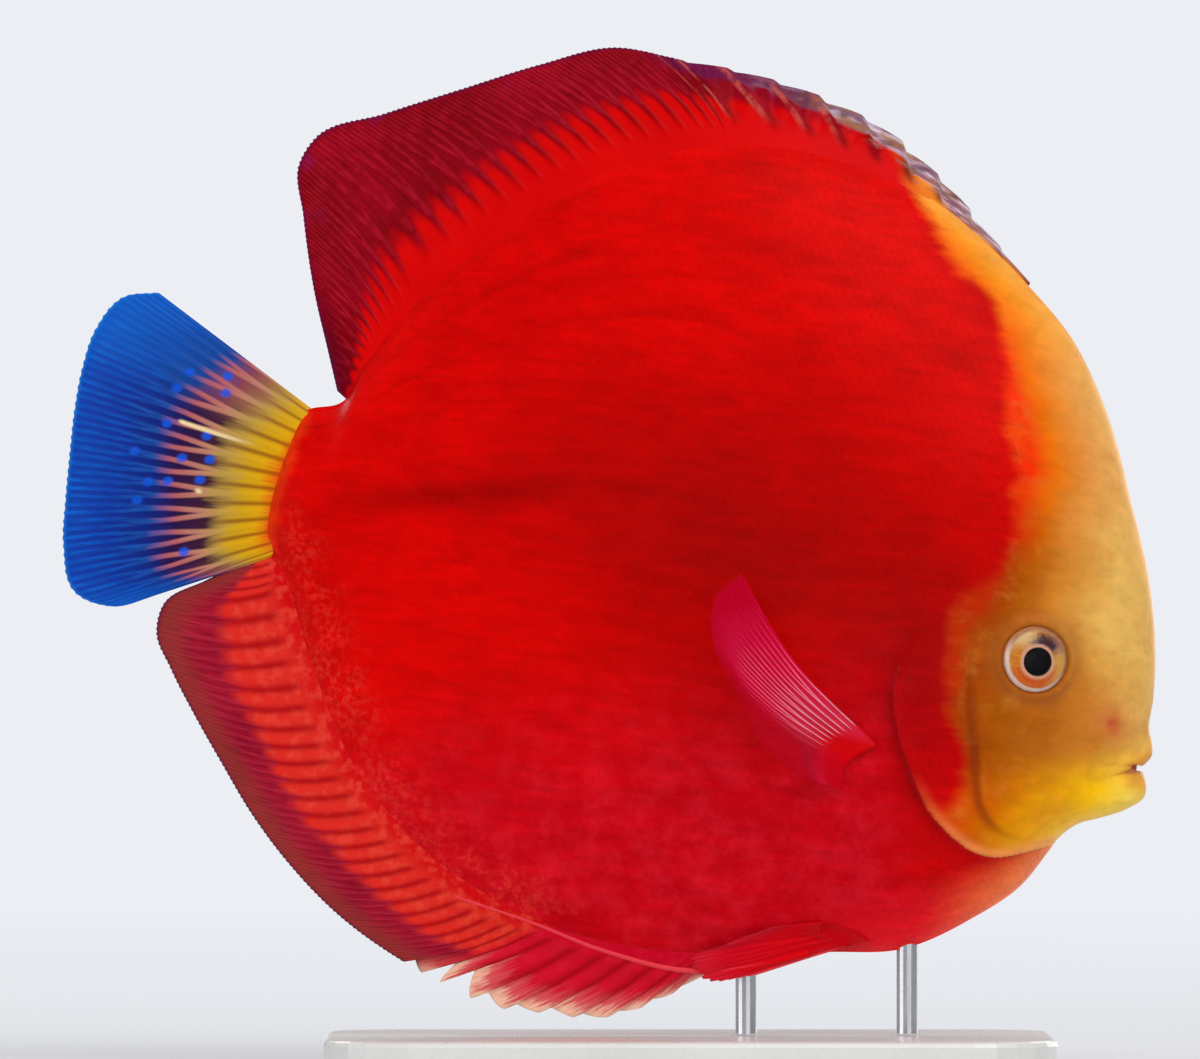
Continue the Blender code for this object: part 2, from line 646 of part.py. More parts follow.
def build():
    clear_scene()
    points, faces = body_mesh()
    flank = Flank(points, faces)
    body = mesh_object("body", points, faces)

    pits, recesses, wells = [], [], []
    for side, word in ((-1, "right"), (1, "left")):
        eye_ball("eye_" + word, flank, side, 0.0, "eye")
        pits.append(eye_ball("socket_" + word, flank, side, GAP))
        pits.append(nostril("nostril_" + word, flank, side))
        over = GILL_PROUD + RECESS_OVER
        recesses.append(gill_sheet("recess_" + word, flank, side, over, over, GILL_DEPTH + GAP, GAP))
        gill_sheet("gill_cover_" + word, flank, side, GILL_FLUSH, GILL_PROUD, GILL_DEPTH, 0.0,
                   "skin_red")
        paired_fin("pectoral_fin_" + word, flank, PECTORAL_RAYS, side, "fin_pectoral",
                   PECTORAL_RAY_COUNT, PECTORAL_FOOT)
        fan = paired_fin("fan_" + word, flank, PELVIC_RAYS, side, None, len(PELVIC_RAYS), PELVIC_FOOT)
        thread = pelvic_filament("thread_" + word, flank, side)
        combined("pelvic_fin_" + word, fan, [("UNION", thread)], "fin_red")
        bpy.data.objects.remove(thread, do_unlink=True)
    for name, place in RODS.items():
        top = belly_height(place) + ROD_DEPTH + GAP
        wells.append(rod_mesh("well_" + name, place, BASE_HEIGHT, top, ROD_RADIUS + GAP))

    below, above = (0.0, -CUT_FAR), (0.0, CUT_FAR)
    head_side = prism("head_side", np.vstack([
        shifted(HEAD_CUT, GAP / 2), (CUT_FAR, -CUT_FAR), (CUT_FAR, CUT_FAR)]))
    trunk_side = prism("trunk_side", np.vstack([
        shifted(HEAD_CUT, -GAP / 2), below, shifted(TAIL_CUT, GAP / 2)[::-1], above]))
    tail_side = prism("tail_side", np.vstack([
        shifted(TAIL_CUT, -GAP / 2), (-CUT_FAR, -CUT_FAR), (-CUT_FAR, CUT_FAR)]))

    sunk = [("DIFFERENCE", cutter) for cutter in pits + recesses]
    combined("head", copied(body), [("INTERSECT", head_side)] + sunk, "skin_head")
    trunk_cuts = [("DIFFERENCE", cutter) for cutter in recesses + wells]
    combined("torso", copied(body), [("INTERSECT", trunk_side)] + trunk_cuts, "skin_red")
    combined("tail_base", copied(body), [("INTERSECT", tail_side)], "skin_red")
    for helper in [body, head_side, trunk_side, tail_side] + pits + recesses + wells:
        bpy.data.objects.remove(helper, do_unlink=True)

    edge_fin(("dorsal_fin_spines", "dorsal_fin_rays"), back_line, 1, DORSAL_RAYS, DORSAL_PARTS,
             "fin_red", DORSAL_NOTCHES, DORSAL_BOW, FOLD)
    edge_fin(("anal_fin_spines", "anal_fin_rays"), belly_line, -1, ANAL_RAYS, ANAL_PARTS,
             "fin_anal", ANAL_NOTCHES, ANAL_BOW, 0.0)
    tail_fin()
    stand()


build()
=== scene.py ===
"""The looks of a discus fish, a life-size still model on a plain display stand.

Sizes are millimetres, and mesh_piece() turns them into metres. +X is the way the fish faces and +Z is
up. Side-view places are (x, z) pairs measured from the disc's centre, the middle of the round body.
"""

import json
import math

import bmesh
import bpy
import numpy as np
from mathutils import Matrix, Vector
from mathutils.bvhtree import BVHTree

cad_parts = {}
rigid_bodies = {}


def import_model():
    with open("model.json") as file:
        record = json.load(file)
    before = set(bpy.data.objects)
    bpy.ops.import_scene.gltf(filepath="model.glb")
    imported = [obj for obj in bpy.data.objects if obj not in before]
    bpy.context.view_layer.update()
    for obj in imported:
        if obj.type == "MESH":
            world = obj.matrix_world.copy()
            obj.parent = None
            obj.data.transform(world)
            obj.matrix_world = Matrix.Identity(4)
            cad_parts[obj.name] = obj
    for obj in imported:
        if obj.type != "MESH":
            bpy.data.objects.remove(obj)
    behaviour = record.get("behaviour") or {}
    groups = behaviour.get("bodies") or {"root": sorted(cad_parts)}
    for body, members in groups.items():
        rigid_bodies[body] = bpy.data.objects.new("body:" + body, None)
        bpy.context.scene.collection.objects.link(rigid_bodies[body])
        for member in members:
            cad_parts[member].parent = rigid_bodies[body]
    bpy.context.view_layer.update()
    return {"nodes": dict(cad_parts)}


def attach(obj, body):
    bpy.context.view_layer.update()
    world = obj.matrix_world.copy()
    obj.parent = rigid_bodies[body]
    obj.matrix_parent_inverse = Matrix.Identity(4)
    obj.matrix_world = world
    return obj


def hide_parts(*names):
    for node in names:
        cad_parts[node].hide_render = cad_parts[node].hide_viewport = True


for left_over in list(bpy.data.objects):
    bpy.data.objects.remove(left_over, do_unlink=True)
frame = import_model()

MM = 0.001
DISC_X = -10.0  # where the disc's centre is in the model's frame
DISC_HEIGHT = 77.2

# The face from the jaw up: height, x of the red border and x of the profile
FACE_SPAN = (
    (-50.0, 50.0, 58.0), (-44.0, 47.0, 64.0), (-41.4, 45.7, 70.5), (-37.0, 46.4, 75.0),
    (-27.0, 47.0, 76.0), (-18.6, 45.7, 76.4), (-11.4, 50.0, 76.1), (-4.3, 54.3, 74.9),
    (10.0, 59.0, 71.5), (27.0, 54.0, 64.5), (41.4, 43.6, 52.0), (50.0, 36.0, 42.0),
)
# The body as rings from the mouth to the tail: highest point, lowest point, widest point, half width
BODY_RINGS = (
    ((74.0, -33.7), (74.0, -34.4), (72.6, -34.4), 2.8),  # inside the mouth
    ((74.6, -33.5), (74.4, -34.6), (70.8, -34.8), 3.6),  # where the lips meet
    ((75.9, -32.3), (75.1, -36.1), (69.0, -35.4), 4.4),  # crest of the lips
    ((76.0, -30.6), (74.9, -38.0), (68.3, -35.7), 4.9),
    ((75.6, -28.6), (72.6, -39.7), (67.0, -35.9), 5.5),  # foot of the lips
    ((76.2, -23.9), (68.9, -41.0), (64.0, -34.9), 7.7),  # chin
    ((76.5, -17.1), (65.3, -42.0), (59.7, -33.3), 10.4),
    ((75.7, -7.9), (62.6, -44.0), (54.3, -30.7), 13.0),  # eye
    ((73.3, 3.1), (61.1, -46.0), (48.6, -27.4), 14.6),  # throat
    ((69.3, 17.4), (57.4, -50.6), (41.4, -22.9), 15.0),  # gill opening
    ((64.3, 27.7), (50.3, -55.4), (32.9, -17.9), 14.8),
    ((58.6, 34.6), (40.7, -59.7), (22.9, -13.1), 14.0),  # nape and breast
    ((44.3, 47.4), (28.6, -60.3), (10.0, -8.6), 12.8),
    ((25.7, 56.4), (12.9, -62.1), (-2.9, -4.3), 11.3),  # vent
    ((4.3, 55.1), (-7.9, -58.9), (-15.7, -0.7), 9.5),
    ((-15.7, 44.9), (-25.0, -50.0), (-27.1, 2.1), 7.6),
    ((-29.3, 33.4), (-38.3, -35.0), (-35.7, 4.0), 6.0),
    ((-36.1, 24.7), (-44.7, -19.3), (-41.7, 5.1), 4.9),
    ((-39.7, 18.3), (-48.4, -7.6), (-45.4, 6.0), 4.1),  # tail base
    ((-45.0, 17.0), (-50.6, -2.3), (-48.1, 6.9), 3.0),  # foot of the tail fin
    ((-45.7, 16.5), (-51.2, -1.6), (-49.0, 7.2), 1.6),  # the tail base's rounded end
)
LAST_RING = len(BODY_RINGS) - 1
TAIL_END = 19
EDGE_POWER = (1.0, 1.25)  # at the mouth and the tail: 1 makes a ring an ellipse, more draws its edges in
EDGE_HALF = (0.25, 0.85)  # half width at the body's edge, over the face and where it carries the fins
EDGE_FROM, EDGE_TO = 8.0, 11.0  # the rings between which the edge thickens
SOFT = 0.2  # how softly a ring's upper half turns into its lower half
HEAD_STEP, TRUNK_STEP = 0.32, 0.58  # distance between stations of the skin
RING_POINTS = 400
FINE_UNTIL, FINE_FADE = 7, 3  # the ring where the head's fine stations end, and over how many rings
RING_ASPECT = 3.0  # how much closer the points of a ring are at its edges than on its sides
FINE = 4000  # how finely a line is read where its length is sought

# Face
EYE_AT = (59.1, -18.4)
EYE_RADIUS = 4.9
EYE_HALF_DEPTH = 3.1
EYE_SUNK = 1.0
PUPIL_AT = (-0.15, -0.27)  # from the eye's middle: forwards and up
NOSTRIL_AT = (70.0, -27.7)
GILL_EDGE = (
    (43.2, -13.4), (38.9, -22.5), (40.7, -32.5), (45.4, -41.6), (52.0, -46.1), (57.6, -45.6),
    (61.2, -44.9),
)
CHEEK_GROOVE = (
    (50.4, -12.0), (50.1, -18.7), (49.9, -25.1), (50.4, -30.7), (50.7, -35.9), (51.3, -39.4),
    (53.7, -42.7), (57.9, -44.3),
)
MOUTH_LINE = ((73.9, -33.9), (72.2, -33.7), (70.6, -33.6), (68.1, -34.2), (66.2, -35.2))
LIP_LINES = (((75.4, -30.0), (74.2, -31.6), (72.6, -33.0)), ((73.0, -36.9), (71.9, -36.2), (70.9, -35.1)))
CHIN_PIT = (73.4, -36.3)

# The skin's relief in millimetres: height, how far out its middle is and how wide it is. Below nought it
# is a hollow.
GILL_PROUD = 0.95
GILL_COVER = (9.5, 0.35)  # how far in front of its edge the cover thins out, and how soon it ends behind
GILL_ROLL = (0.16, 0.75, 0.55)
GILL_HOLLOW = (0.3, 1.6)  # depth behind the edge, and how far back it reaches
GROOVE_DEEP, GROOVE_LIP = (-0.42, 0.0, 0.5), (0.2, 1.5, 1.1)
EYE_RIM, EYE_MOAT = (0.42, 5.35, 0.6), (-0.1, 6.9, 0.8)
SOCKET_DEPTH, SOCKET_RADIUS, SOCKET_WALL = 2.6, 4.8, 0.5
NOSTRIL_RIM, NOSTRIL_PIT = (0.1, 0.9, 0.4), (-0.4, 0.0, 0.4)
MOUTH_DEPTH = (-0.55, -0.1)  # at its front and further back
MOUTH_WIDTH, MOUTH_LIP = 0.3, (0.14, 0.9, 0.5)
LIP_FOLD = (-0.22, 0.0, 0.4)
CHIN_DENT = (-0.16, 0.0, 0.45)
SIDE_BEAD, TAIL_BEAD = (0.11, 0.0, 0.45), (0.09, 0.0, 0.45)
BEADS = 4.5  # for each point of the side line's table

# Where the red body meets the yellow face, from the nape down to the gill cover's edge
RED_BORDER = (
    (42.1, 49.6), (44.3, 45.0), (47.1, 38.6), (52.1, 32.9), (54.3, 25.7), (55.0, 15.7), (56.4, 8.6),
    (55.7, 1.4), (52.9, -5.7), (48.6, -8.6), (46.4, -12.9), (45.4, -17.1), (46.4, -24.3),
    (49.0, -31.9), (49.4, -36.4), (47.1, -39.6), (43.6, -39.0), (40.0, -36.6),
)
FACE_CORNERS = ((41.5, -42.0), (46.5, -47.5), (52.0, -49.0), (57.6, -48.6), (61.2, -45.0), (120.0, -44.9),
                (120.0, 80.0), (35.0, 80.0))  # round the rest of the face
ANAL_FOOT = (13.0, 18.6)  # the body rings that the anal fin's foot lies between
SIDE_LINE = ((40.0, -9.0), (33.0, 8.0), (20.0, 21.0), (4.0, 25.5), (-12.0, 22.0), (-26.0, 15.0))
TAIL_LINE = ((-20.0, 3.6), (-32.0, 4.8), (-46.0, 6.6))

# Fins: the body station that a ray grows from, and where its tip is
DORSAL_RAYS = (
    (11.0, (58.6, 35.3)), (11.28, (54.3, 40.6)), (11.72, (46.9, 49.4)), (12.15, (38.6, 56.9)),
    (12.5, (28.6, 62.1)), (12.9, (17.4, 65.6)), (13.3, (8.6, 67.3)), (13.55, (-1.1, 69.0)),
    (13.97, (-11.4, 66.6)), (14.47, (-22.9, 63.0)), (14.98, (-33.6, 59.6)), (15.7, (-43.7, 56.0)),
    (16.15, (-45.9, 52.4)), (16.6, (-45.3, 45.0)), (17.12, (-43.7, 34.0)), (17.6, (-41.7, 25.4)),
    (17.95, (-40.4, 19.9)),
)
ANAL_RAYS = (
    (12.8, (12.0, -63.6)), (12.9, (4.6, -67.6)), (13.03, (-2.9, -69.7)), (13.32, (-10.7, -69.0)),
    (13.62, (-18.3, -68.0)), (13.93, (-25.7, -64.6)), (14.23, (-32.1, -61.0)), (14.65, (-40.3, -55.0)),
    (15.1, (-47.1, -48.0)), (15.5, (-52.6, -40.7)), (15.95, (-57.1, -33.1)), (16.4, (-61.1, -26.0)),
    (16.85, (-64.3, -19.7)), (17.35, (-66.3, -14.6)), (17.8, (-65.3, -10.6)), (18.35, (-59.3, -7.2)),
    (18.9, (-52.9, -4.3)),
)
DORSAL_PARTS = (9, 6, 31)  # spines, the place in the table where they end, soft rays
ANAL_PARTS = (8, 5, 29)
TAIL_RAYS = (
    (0.0, (-66.0, 34.0)), (0.07, (-71.1, 33.3)), (0.16, (-74.9, 28.9)), (0.28, (-76.9, 23.1)),
    (0.40, (-78.0, 17.1)), (0.52, (-78.7, 10.7)), (0.64, (-79.3, 4.3)), (0.76, (-79.6, -2.1)),
    (0.87, (-77.9, -8.9)), (0.94, (-72.9, -10.9)), (1.0, (-65.7, -9.1)),
)
TAIL_RAY_COUNT = 14
TAIL_SPOTS = (
    (-63.3, 20.3), (-56.3, 19.6), (-56.0, 22.0), (-61.5, 22.6), (-58.6, 10.1), (-62.6, 10.3),
    (-60.0, 7.2), (-64.6, 7.0), (-67.4, 6.9), (-64.7, 15.3), (-59.0, 13.5), (-69.3, 11.3),
    (-69.0, 4.3), (-62.3, -3.1),
)
# A painted highlight along one ray of the tail fin
TAIL_HIGHLIGHT = ((-63.0, 15.6), (-57.0, 13.6), (-49.0, 11.3))
# Paired fins: where a ray leaves the flank, where its tip is, and how far that is from the middle plane
PECTORAL_RAYS = (
    ((36.0, -30.1), (17.0, -6.0), 27.0), ((34.2, -30.9), (13.4, -9.2), 26.6),
    ((32.8, -31.8), (12.8, -14.4), 25.8), ((31.6, -33.0), (14.6, -20.6), 24.6),
    ((31.1, -34.7), (17.0, -27.4), 23.2), ((31.1, -36.4), (23.4, -33.8), 21.4),
)
# Then the number of rays, where they fork, half the flesh's thickness at the root, how far a ray stands
# out of the web at its root and at its tip, and how far the fin bows
PECTORAL = {"rays": PECTORAL_RAYS, "count": 15, "forks": (0.2, 0.55), "lobe": 1.5, "bone": (0.2, 0.1),
            "bow": 0.055}
PELVIC_RAYS = (
    ((35.4, -58.8), (19.0, -63.6), 3.4), ((34.1, -57.9), (11.2, -63.6), 3.7),
    ((32.8, -57.2), (10.0, -61.6), 4.2), ((31.5, -56.6), (14.6, -59.2), 5.0),
    ((30.2, -56.2), (21.5, -56.6), 5.6),
)
PELVIC = {"rays": PELVIC_RAYS, "count": 7, "forks": (0.3, 0.6), "lobe": 0.9, "bone": (0.1, 0.08),
          "bow": 0.0}
FILAMENT = ((27.0, -60.3), (20.0, -61.9), (11.4, -62.9), (-2.9, -59.8), (-12.0, -56.2), (-23.4, -52.3))
FILAMENT_OUT = 3.5

# The photograph's frame, in the fish's middle plane, and how far away the camera is
VIEW_CENTRE = (-12.86, 77.3)
VIEW_WIDTH = 171.4
CAMERA_DISTANCE = 3000.0
SENSOR_WIDTH = 36.0


def smooth(t):
    t = np.clip(t, 0, 1)
    return t * t * (3 - 2 * t)


def past(value, start, length):
    """0 up to start, then smoothly up to 1 over the length. A length below nought runs the other way."""
    return smooth((value - start) / length)


def fade(pair, share):
    return pair[0] + (pair[1] - pair[0]) * share


def bell(distance, width):
    return np.exp(-((distance / width) ** 2))


def swell(distance, height, middle, width):
    """A soft ridge of that height, or a groove, whose middle is that far away."""
    return height * bell(distance - middle, width)


def tapered(along, start, end):
    """1 along a line, fading to 0 over these shares of its length at its start and its end."""
    return smooth(along / start) * smooth((1 - along) / end)


def through(points, at):
    """The smooth curve through the points, read at point numbers that may lie between them."""
    p = np.asarray(points, float)
    steps = np.diff(p, axis=0)
    lengths = np.linalg.norm(steps, axis=1)[:, None]
    ways = steps / lengths
    turns = ways[:-1] * lengths[1:] + ways[1:] * lengths[:-1]
    turns /= np.linalg.norm(turns, axis=1)[:, None]
    turns = np.vstack([ways[:1], turns, ways[-1:]])
    at = np.atleast_1d(np.asarray(at, float))
    i = np.clip(at.astype(int), 0, len(p) - 2)
    t = (at - i)[:, None]
    span = lengths[i]
    return (
        p[i] * (2 * t**3 - 3 * t**2 + 1)
        + turns[i] * span * (t**3 - 2 * t**2 + t)
        + p[i + 1] * (3 * t**2 - 2 * t**3)
        + turns[i + 1] * span * (t**3 - t**2)
    )


def between(values, at):
    """A number read off a smooth line through evenly spaced values."""
    numbers = np.column_stack([np.arange(len(values), dtype=float), values])
    return through(numbers, at)[:, 1]


def drawn(points, steps=60):
    """A smooth line through the points, as that many short pieces."""
    return through(points, np.linspace(0, len(points) - 1, steps + 1))


def back_line(at):
    return through([ring[0] for ring in BODY_RINGS], at)


def belly_line(at):
    return through([ring[1] for ring in BODY_RINGS], at)


def widest_line(at):
    return through([ring[2] for ring in BODY_RINGS], at)


def placed(side, y):
    """Side-view places and how far each is to the side, as points in the model's frame."""
    side = np.asarray(side, float)
    x, z = side[..., 0] + DISC_X, side[..., 1] + DISC_HEIGHT
    return np.stack([x, np.broadcast_to(y, side.shape[:-1]), z], -1)


def seen(points):
    """The side-view places of points in the model's frame."""
    return np.stack([points[..., 0] - DISC_X, points[..., 2] - DISC_HEIGHT], -1)


def off_curve(places, line):
    """How far side-view places are off a line, above nought on its left, and how far along it, 0 to 1."""
    flat = places.reshape(-1, 2)
    best = np.full(len(flat), np.inf)
    off = np.zeros(len(flat))
    along = np.zeros(len(flat))
    count = len(line) - 1
    for k in range(count):
        a, way = line[k], line[k + 1] - line[k]
        t = np.clip((flat - a) @ way / (way @ way), 0, 1)
        gap = flat - (a + t[:, None] * way)
        far = np.linalg.norm(gap, axis=1)
        near = far < best
        left = np.sign(way[0] * gap[:, 1] - way[1] * gap[:, 0])
        best = np.where(near, far, best)
        off = np.where(near, far * np.where(left == 0, 1, left), off)
        along = np.where(near, (k + t) / count, along)
    return off.reshape(places.shape[:-1]), along.reshape(places.shape[:-1])


def inside(places, corners):
    """Whether side-view places lie inside the closed line through the corners."""
    x, z = places[..., 0], places[..., 1]
    odd = np.zeros(x.shape, bool)
    for (x0, z0), (x1, z1) in zip(corners, np.roll(corners, -1, axis=0)):
        if z0 != z1:
            odd ^= ((z0 > z) != (z1 > z)) & (x < x0 + (z - z0) * (x1 - x0) / (z1 - z0))
    return odd


def distance_from(places, centre):
    return np.linalg.norm(places - np.array(centre), axis=-1)


def blot(places, centre, size, lean=0.0):
    """A soft patch: 1 at its centre, fading over its size along and across the way that it leans."""
    c, s = math.cos(math.radians(lean)), math.sin(math.radians(lean))
    x, z = places[..., 0] - centre[0], places[..., 1] - centre[1]
    return np.exp(-(((x * c + z * s) / size[0]) ** 2) - ((-x * s + z * c) / size[1]) ** 2)


def mesh_piece(name, points, faces, finish, marks=None, replaces=()):
    """A shaded mesh from points in millimetres, with a number at each point for every mark."""
    mesh = bpy.data.meshes.new(name)
    mesh.from_pydata((np.asarray(points, float) * MM).tolist(), [], faces)
    for mark, values in (marks or {}).items():
        layer = mesh.attributes.new(mark, "FLOAT", "POINT")
        layer.data.foreach_set("value", np.asarray(values, np.float32).ravel())
    mesh.materials.append(finish)
    mesh.shade_smooth()
    obj = bpy.data.objects.new(name, mesh)
    bpy.context.scene.collection.objects.link(obj)
    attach(obj, "root")
    if replaces:
        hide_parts(*replaces)
    return obj


def grid_faces(rows, columns, first=0, round_trip=False, flip=False):
    """Four-sided faces between rows x columns points, joined round to the first column where asked."""
    r = np.arange(rows - 1)[:, None]
    c = np.arange(columns if round_trip else columns - 1)[None, :]
    ahead = (c + 1) % columns
    corners = [r * columns + c, r * columns + ahead, (r + 1) * columns + ahead, (r + 1) * columns + c]
    if flip:
        corners.reverse()
    return (np.stack(np.broadcast_arrays(*corners), -1).reshape(-1, 4) + first).tolist()


def sheet_faces(rows, columns):
    """Faces of a closed sheet: two like faces of rows x columns points, and the walls round them."""
    size = rows * columns
    faces = grid_faces(rows, columns) + grid_faces(rows, columns, size, flip=True)
    rim = list(range(columns)) + [r * columns + columns - 1 for r in range(1, rows)]
    rim += [(rows - 1) * columns + c for c in range(columns - 2, -1, -1)]
    rim += [r * columns for r in range(rows - 2, 0, -1)]
    for k, a in enumerate(rim):
        b = rim[(k + 1) % len(rim)]
        faces.append((b, a, a + size, b + size))
    return faces


def turned_out(obj):
    """The piece with all its faces turned outwards."""
    shape = bmesh.new()
    shape.from_mesh(obj.data)
    bmesh.ops.recalc_face_normals(shape, faces=shape.faces)
    shape.to_mesh(obj.data)
    shape.free()
    return obj


# Skin

def skin_stations():
    """Places along the body where the skin's rings lie, closer together on the head."""
    fine = np.linspace(0, LAST_RING, FINE)
    lines = (back_line(fine), belly_line(fine), widest_line(fine))
    steps = np.max([np.linalg.norm(np.diff(line, axis=0), axis=1) for line in lines], axis=0)
    spacing = fade((HEAD_STEP, TRUNK_STEP), past(fine[1:], FINE_UNTIL, FINE_FADE))
    far = np.concatenate([[0.0], np.cumsum(steps / spacing)])
    return np.interp(np.linspace(0, far[-1], int(far[-1]) + 1), far, fine)


def ring_turns():
    """The angles of a ring's points, at nearly even steps round it."""
    fine = np.linspace(-math.pi / 2, math.pi / 2, FINE)
    speed = np.hypot(RING_ASPECT * np.cos(fine), np.sin(fine))
    far = np.concatenate([[0.0], np.cumsum(speed[1:])])
    half = np.interp(np.linspace(0, far[-1], RING_POINTS // 2), far, fine)
    return np.concatenate([half, half + math.pi])


def body_surface(at, turn):
    """Points of the plain body, for each station and each angle round it, before any detail."""
    high, low, wide = back_line(at)[:, None], belly_line(at)[:, None], widest_line(at)[:, None]
    half = between([ring[3] for ring in BODY_RINGS], at)[:, None]
    rise = np.sin(turn)[None, :, None]
    upper = (rise + np.sqrt(rise**2 + SOFT**2) + 1 - math.sqrt(1 + SOFT**2)) / 2
    side = wide + (wide - low) * rise + ((high - wide) - (wide - low)) * upper
    share = np.abs(np.cos(turn))[None, :] ** fade(EDGE_POWER, at / TAIL_END)[:, None]
    edge = fade(EDGE_HALF, np.clip((at - EDGE_FROM) / (EDGE_TO - EDGE_FROM), 0, 1))
    edge = np.minimum(edge, half[:, 0])[:, None]
    across = ((share * half) ** 4 + edge**4) ** 0.25
    facing = np.where(np.arange(len(turn)) < len(turn) // 2, 1, -1)[None, :]
    return placed(side, across * facing)


def grid_normals(points):
    """Outward unit normals of a round-going grid."""
    along = np.gradient(points, axis=0)
    around = (np.roll(points, -1, axis=1) - np.roll(points, 1, axis=1)) / 2
    normal = np.cross(along, around)
    normal /= np.maximum(np.linalg.norm(normal, axis=-1, keepdims=True), 1e-9)
    outward = np.sign((normal[..., 1] * points[..., 1]).sum())
    return normal * outward


def relief(places):
    """How far the skin stands out from the plain body, in millimetres."""
    out = np.zeros(places.shape[:-1])

    off, along = off_curve(places, drawn(GILL_EDGE))
    thins, ends = GILL_COVER
    cover = np.where(off > 0, np.clip(1 - off / thins, 0, 1), np.clip(1 + off / ends, 0, 1))
    depth, reach = GILL_HOLLOW
    hollow = np.where(off < 0, depth * np.exp(off / reach) * smooth(-off / 0.5), 0.0)
    out += tapered(along, 0.2, 0.28) * (GILL_PROUD * cover + swell(off, *GILL_ROLL) - hollow)

    off, along = off_curve(places, drawn(CHEEK_GROOVE))
    out += tapered(along, 0.35, 0.25) * (swell(off, *GROOVE_DEEP) + swell(off, *GROOVE_LIP))

    far = distance_from(places, EYE_AT)
    out += swell(far, *EYE_RIM) + swell(far, *EYE_MOAT)
    out -= SOCKET_DEPTH * past(far, SOCKET_RADIUS, -SOCKET_WALL)
    far = distance_from(places, NOSTRIL_AT)
    out += swell(far, *NOSTRIL_RIM) + swell(far, *NOSTRIL_PIT)

    off, along = off_curve(places, drawn(MOUTH_LINE))
    slit = fade(MOUTH_DEPTH, smooth(along / 0.35)) * bell(off, MOUTH_WIDTH)
    out += (slit + swell(np.abs(off), *MOUTH_LIP)) * smooth((1 - along) / 0.5)
    for line in LIP_LINES:
        off, along = off_curve(places, drawn(line))
        out += swell(off, *LIP_FOLD) * smooth(along / 0.2 + 0.3) * smooth((1 - along) / 0.3)
    out += swell(distance_from(places, CHIN_PIT), *CHIN_DENT)

    for line, bead in ((SIDE_LINE, SIDE_BEAD), (TAIL_LINE, TAIL_BEAD)):
        off, along = off_curve(places, drawn(line))
        beads = 0.5 + 0.5 * np.cos(along * len(line) * 2 * math.pi * BEADS)
        out += swell(off, *bead) * beads * tapered(along, 0.1, 0.1)
    return out


def skin_marks(places, share, station):
    """The numbers that the skin's finish reads, at side-view places.

    share is how far up the body each place is, from -1 at the belly's edge to 1 at the back's, and
    station says which of the body's rings it is on.
    """
    x, z = places[..., 0], places[..., 1]
    rear, profile = (np.interp(z, *np.array(FACE_SPAN)[:, [0, side]].T) for side in (1, 2))
    front = np.clip((x - rear) / (profile - rear), 0, 1)
    rest_of_face = np.concatenate([drawn(RED_BORDER), FACE_CORNERS])
    border = np.abs(off_curve(places, drawn(RED_BORDER))[0])
    border = border * np.where(inside(places, rest_of_face), 1, -1)
    gill, along = off_curve(places, drawn(GILL_EDGE))
    behind = (gill < 0) & (along > 0.02) & (along < 0.999)
    anal, anal_along = off_curve(places, belly_line(np.linspace(*ANAL_FOOT, 60)))
    tail_foot = np.array(BODY_RINGS[TAIL_END][:2])
    return {
        # The face: above nought inside its border, then how far forwards, and the zones of its colours
        "face": np.where(behind & (z < -10), np.minimum(border, -2.0), border),
        "front": front + 0.22 * past(z, -25, 13) * past(z, 8, -10) * past(front, 0.2, 0.25),
        "high": past(z, -9, 18),
        "nape": past(z, 16, 20),
        "jaw": past(z - 0.1 * (x - 60), -30.5, -8),
        "lips": past(x, 70.5, 3) * past(station, 3.6, -1.6),
        "inside": past(station, 1.5, -0.7),
        "rosy": blot(places, (70.3, -27.6), (1.5, 1.9)) + 0.45 * blot(places, (69.0, -26.5), (3.6, 4.0)),
        # Painted shade in a ring round the eye socket
        "socket": bell(distance_from(places, EYE_AT) - 5.8, 1.4),
        # Painted shade along the cheek's groove
        "groove": bell(off_curve(places, drawn(CHEEK_GROOVE))[0] + 0.15, 0.75)
        * past(z, -16, -12) * past(z, -45, 4),
        # The gill cover's pale rim, and the shadow behind it
        "rim": np.where(behind, 0, bell(gill - 0.5, 0.75)) * past(along, 0.35, 0.3),
        "shadow": np.where(behind, np.exp(gill / 1.8), 0) * past(z, -14, -10) * past(z, -48, 8),
        # The body: how high up, its edge, its darker middle of painted shade and its crimson belly
        "share": share,
        # A painted highlight: lighter at the very edge of the body's outline
        "painted_edge_highlight": np.abs(share) ** 36,
        # Painted shade: darker in the body's middle and about the gill cover's rear edge, and a dark
        # streak along the tail's side line
        "deep": blot(places, (20.0, -2.0), (38.0, 20.0), -18)
        + 0.8 * blot(places, (-24.0, 5.0), (16.0, 2.4), 4)
        + 0.7 * blot(places, (43.0, -24.0), (8.0, 14.0)),
        "belly": past(z - 0.15 * x, -14, -30) * (1 - 0.8 * past(x, 34, 10) * past(z, -56, 8)),
        # The breast and the belly's edge: orange, and lightened as a painted highlight
        "breast": blot(places, (58.5, -53.0), (12.5, 4.6), 38),
        "keel": past(share, -0.8, -0.19) * past(x, 28, 12) * past(x, 64, -3),
        "throat": past(x, 42, 16),
        "speckle": past(np.abs(anal), 14, -12) * smooth(anal_along / 0.3),
        "tail": -off_curve(places, tail_foot)[0],
    }


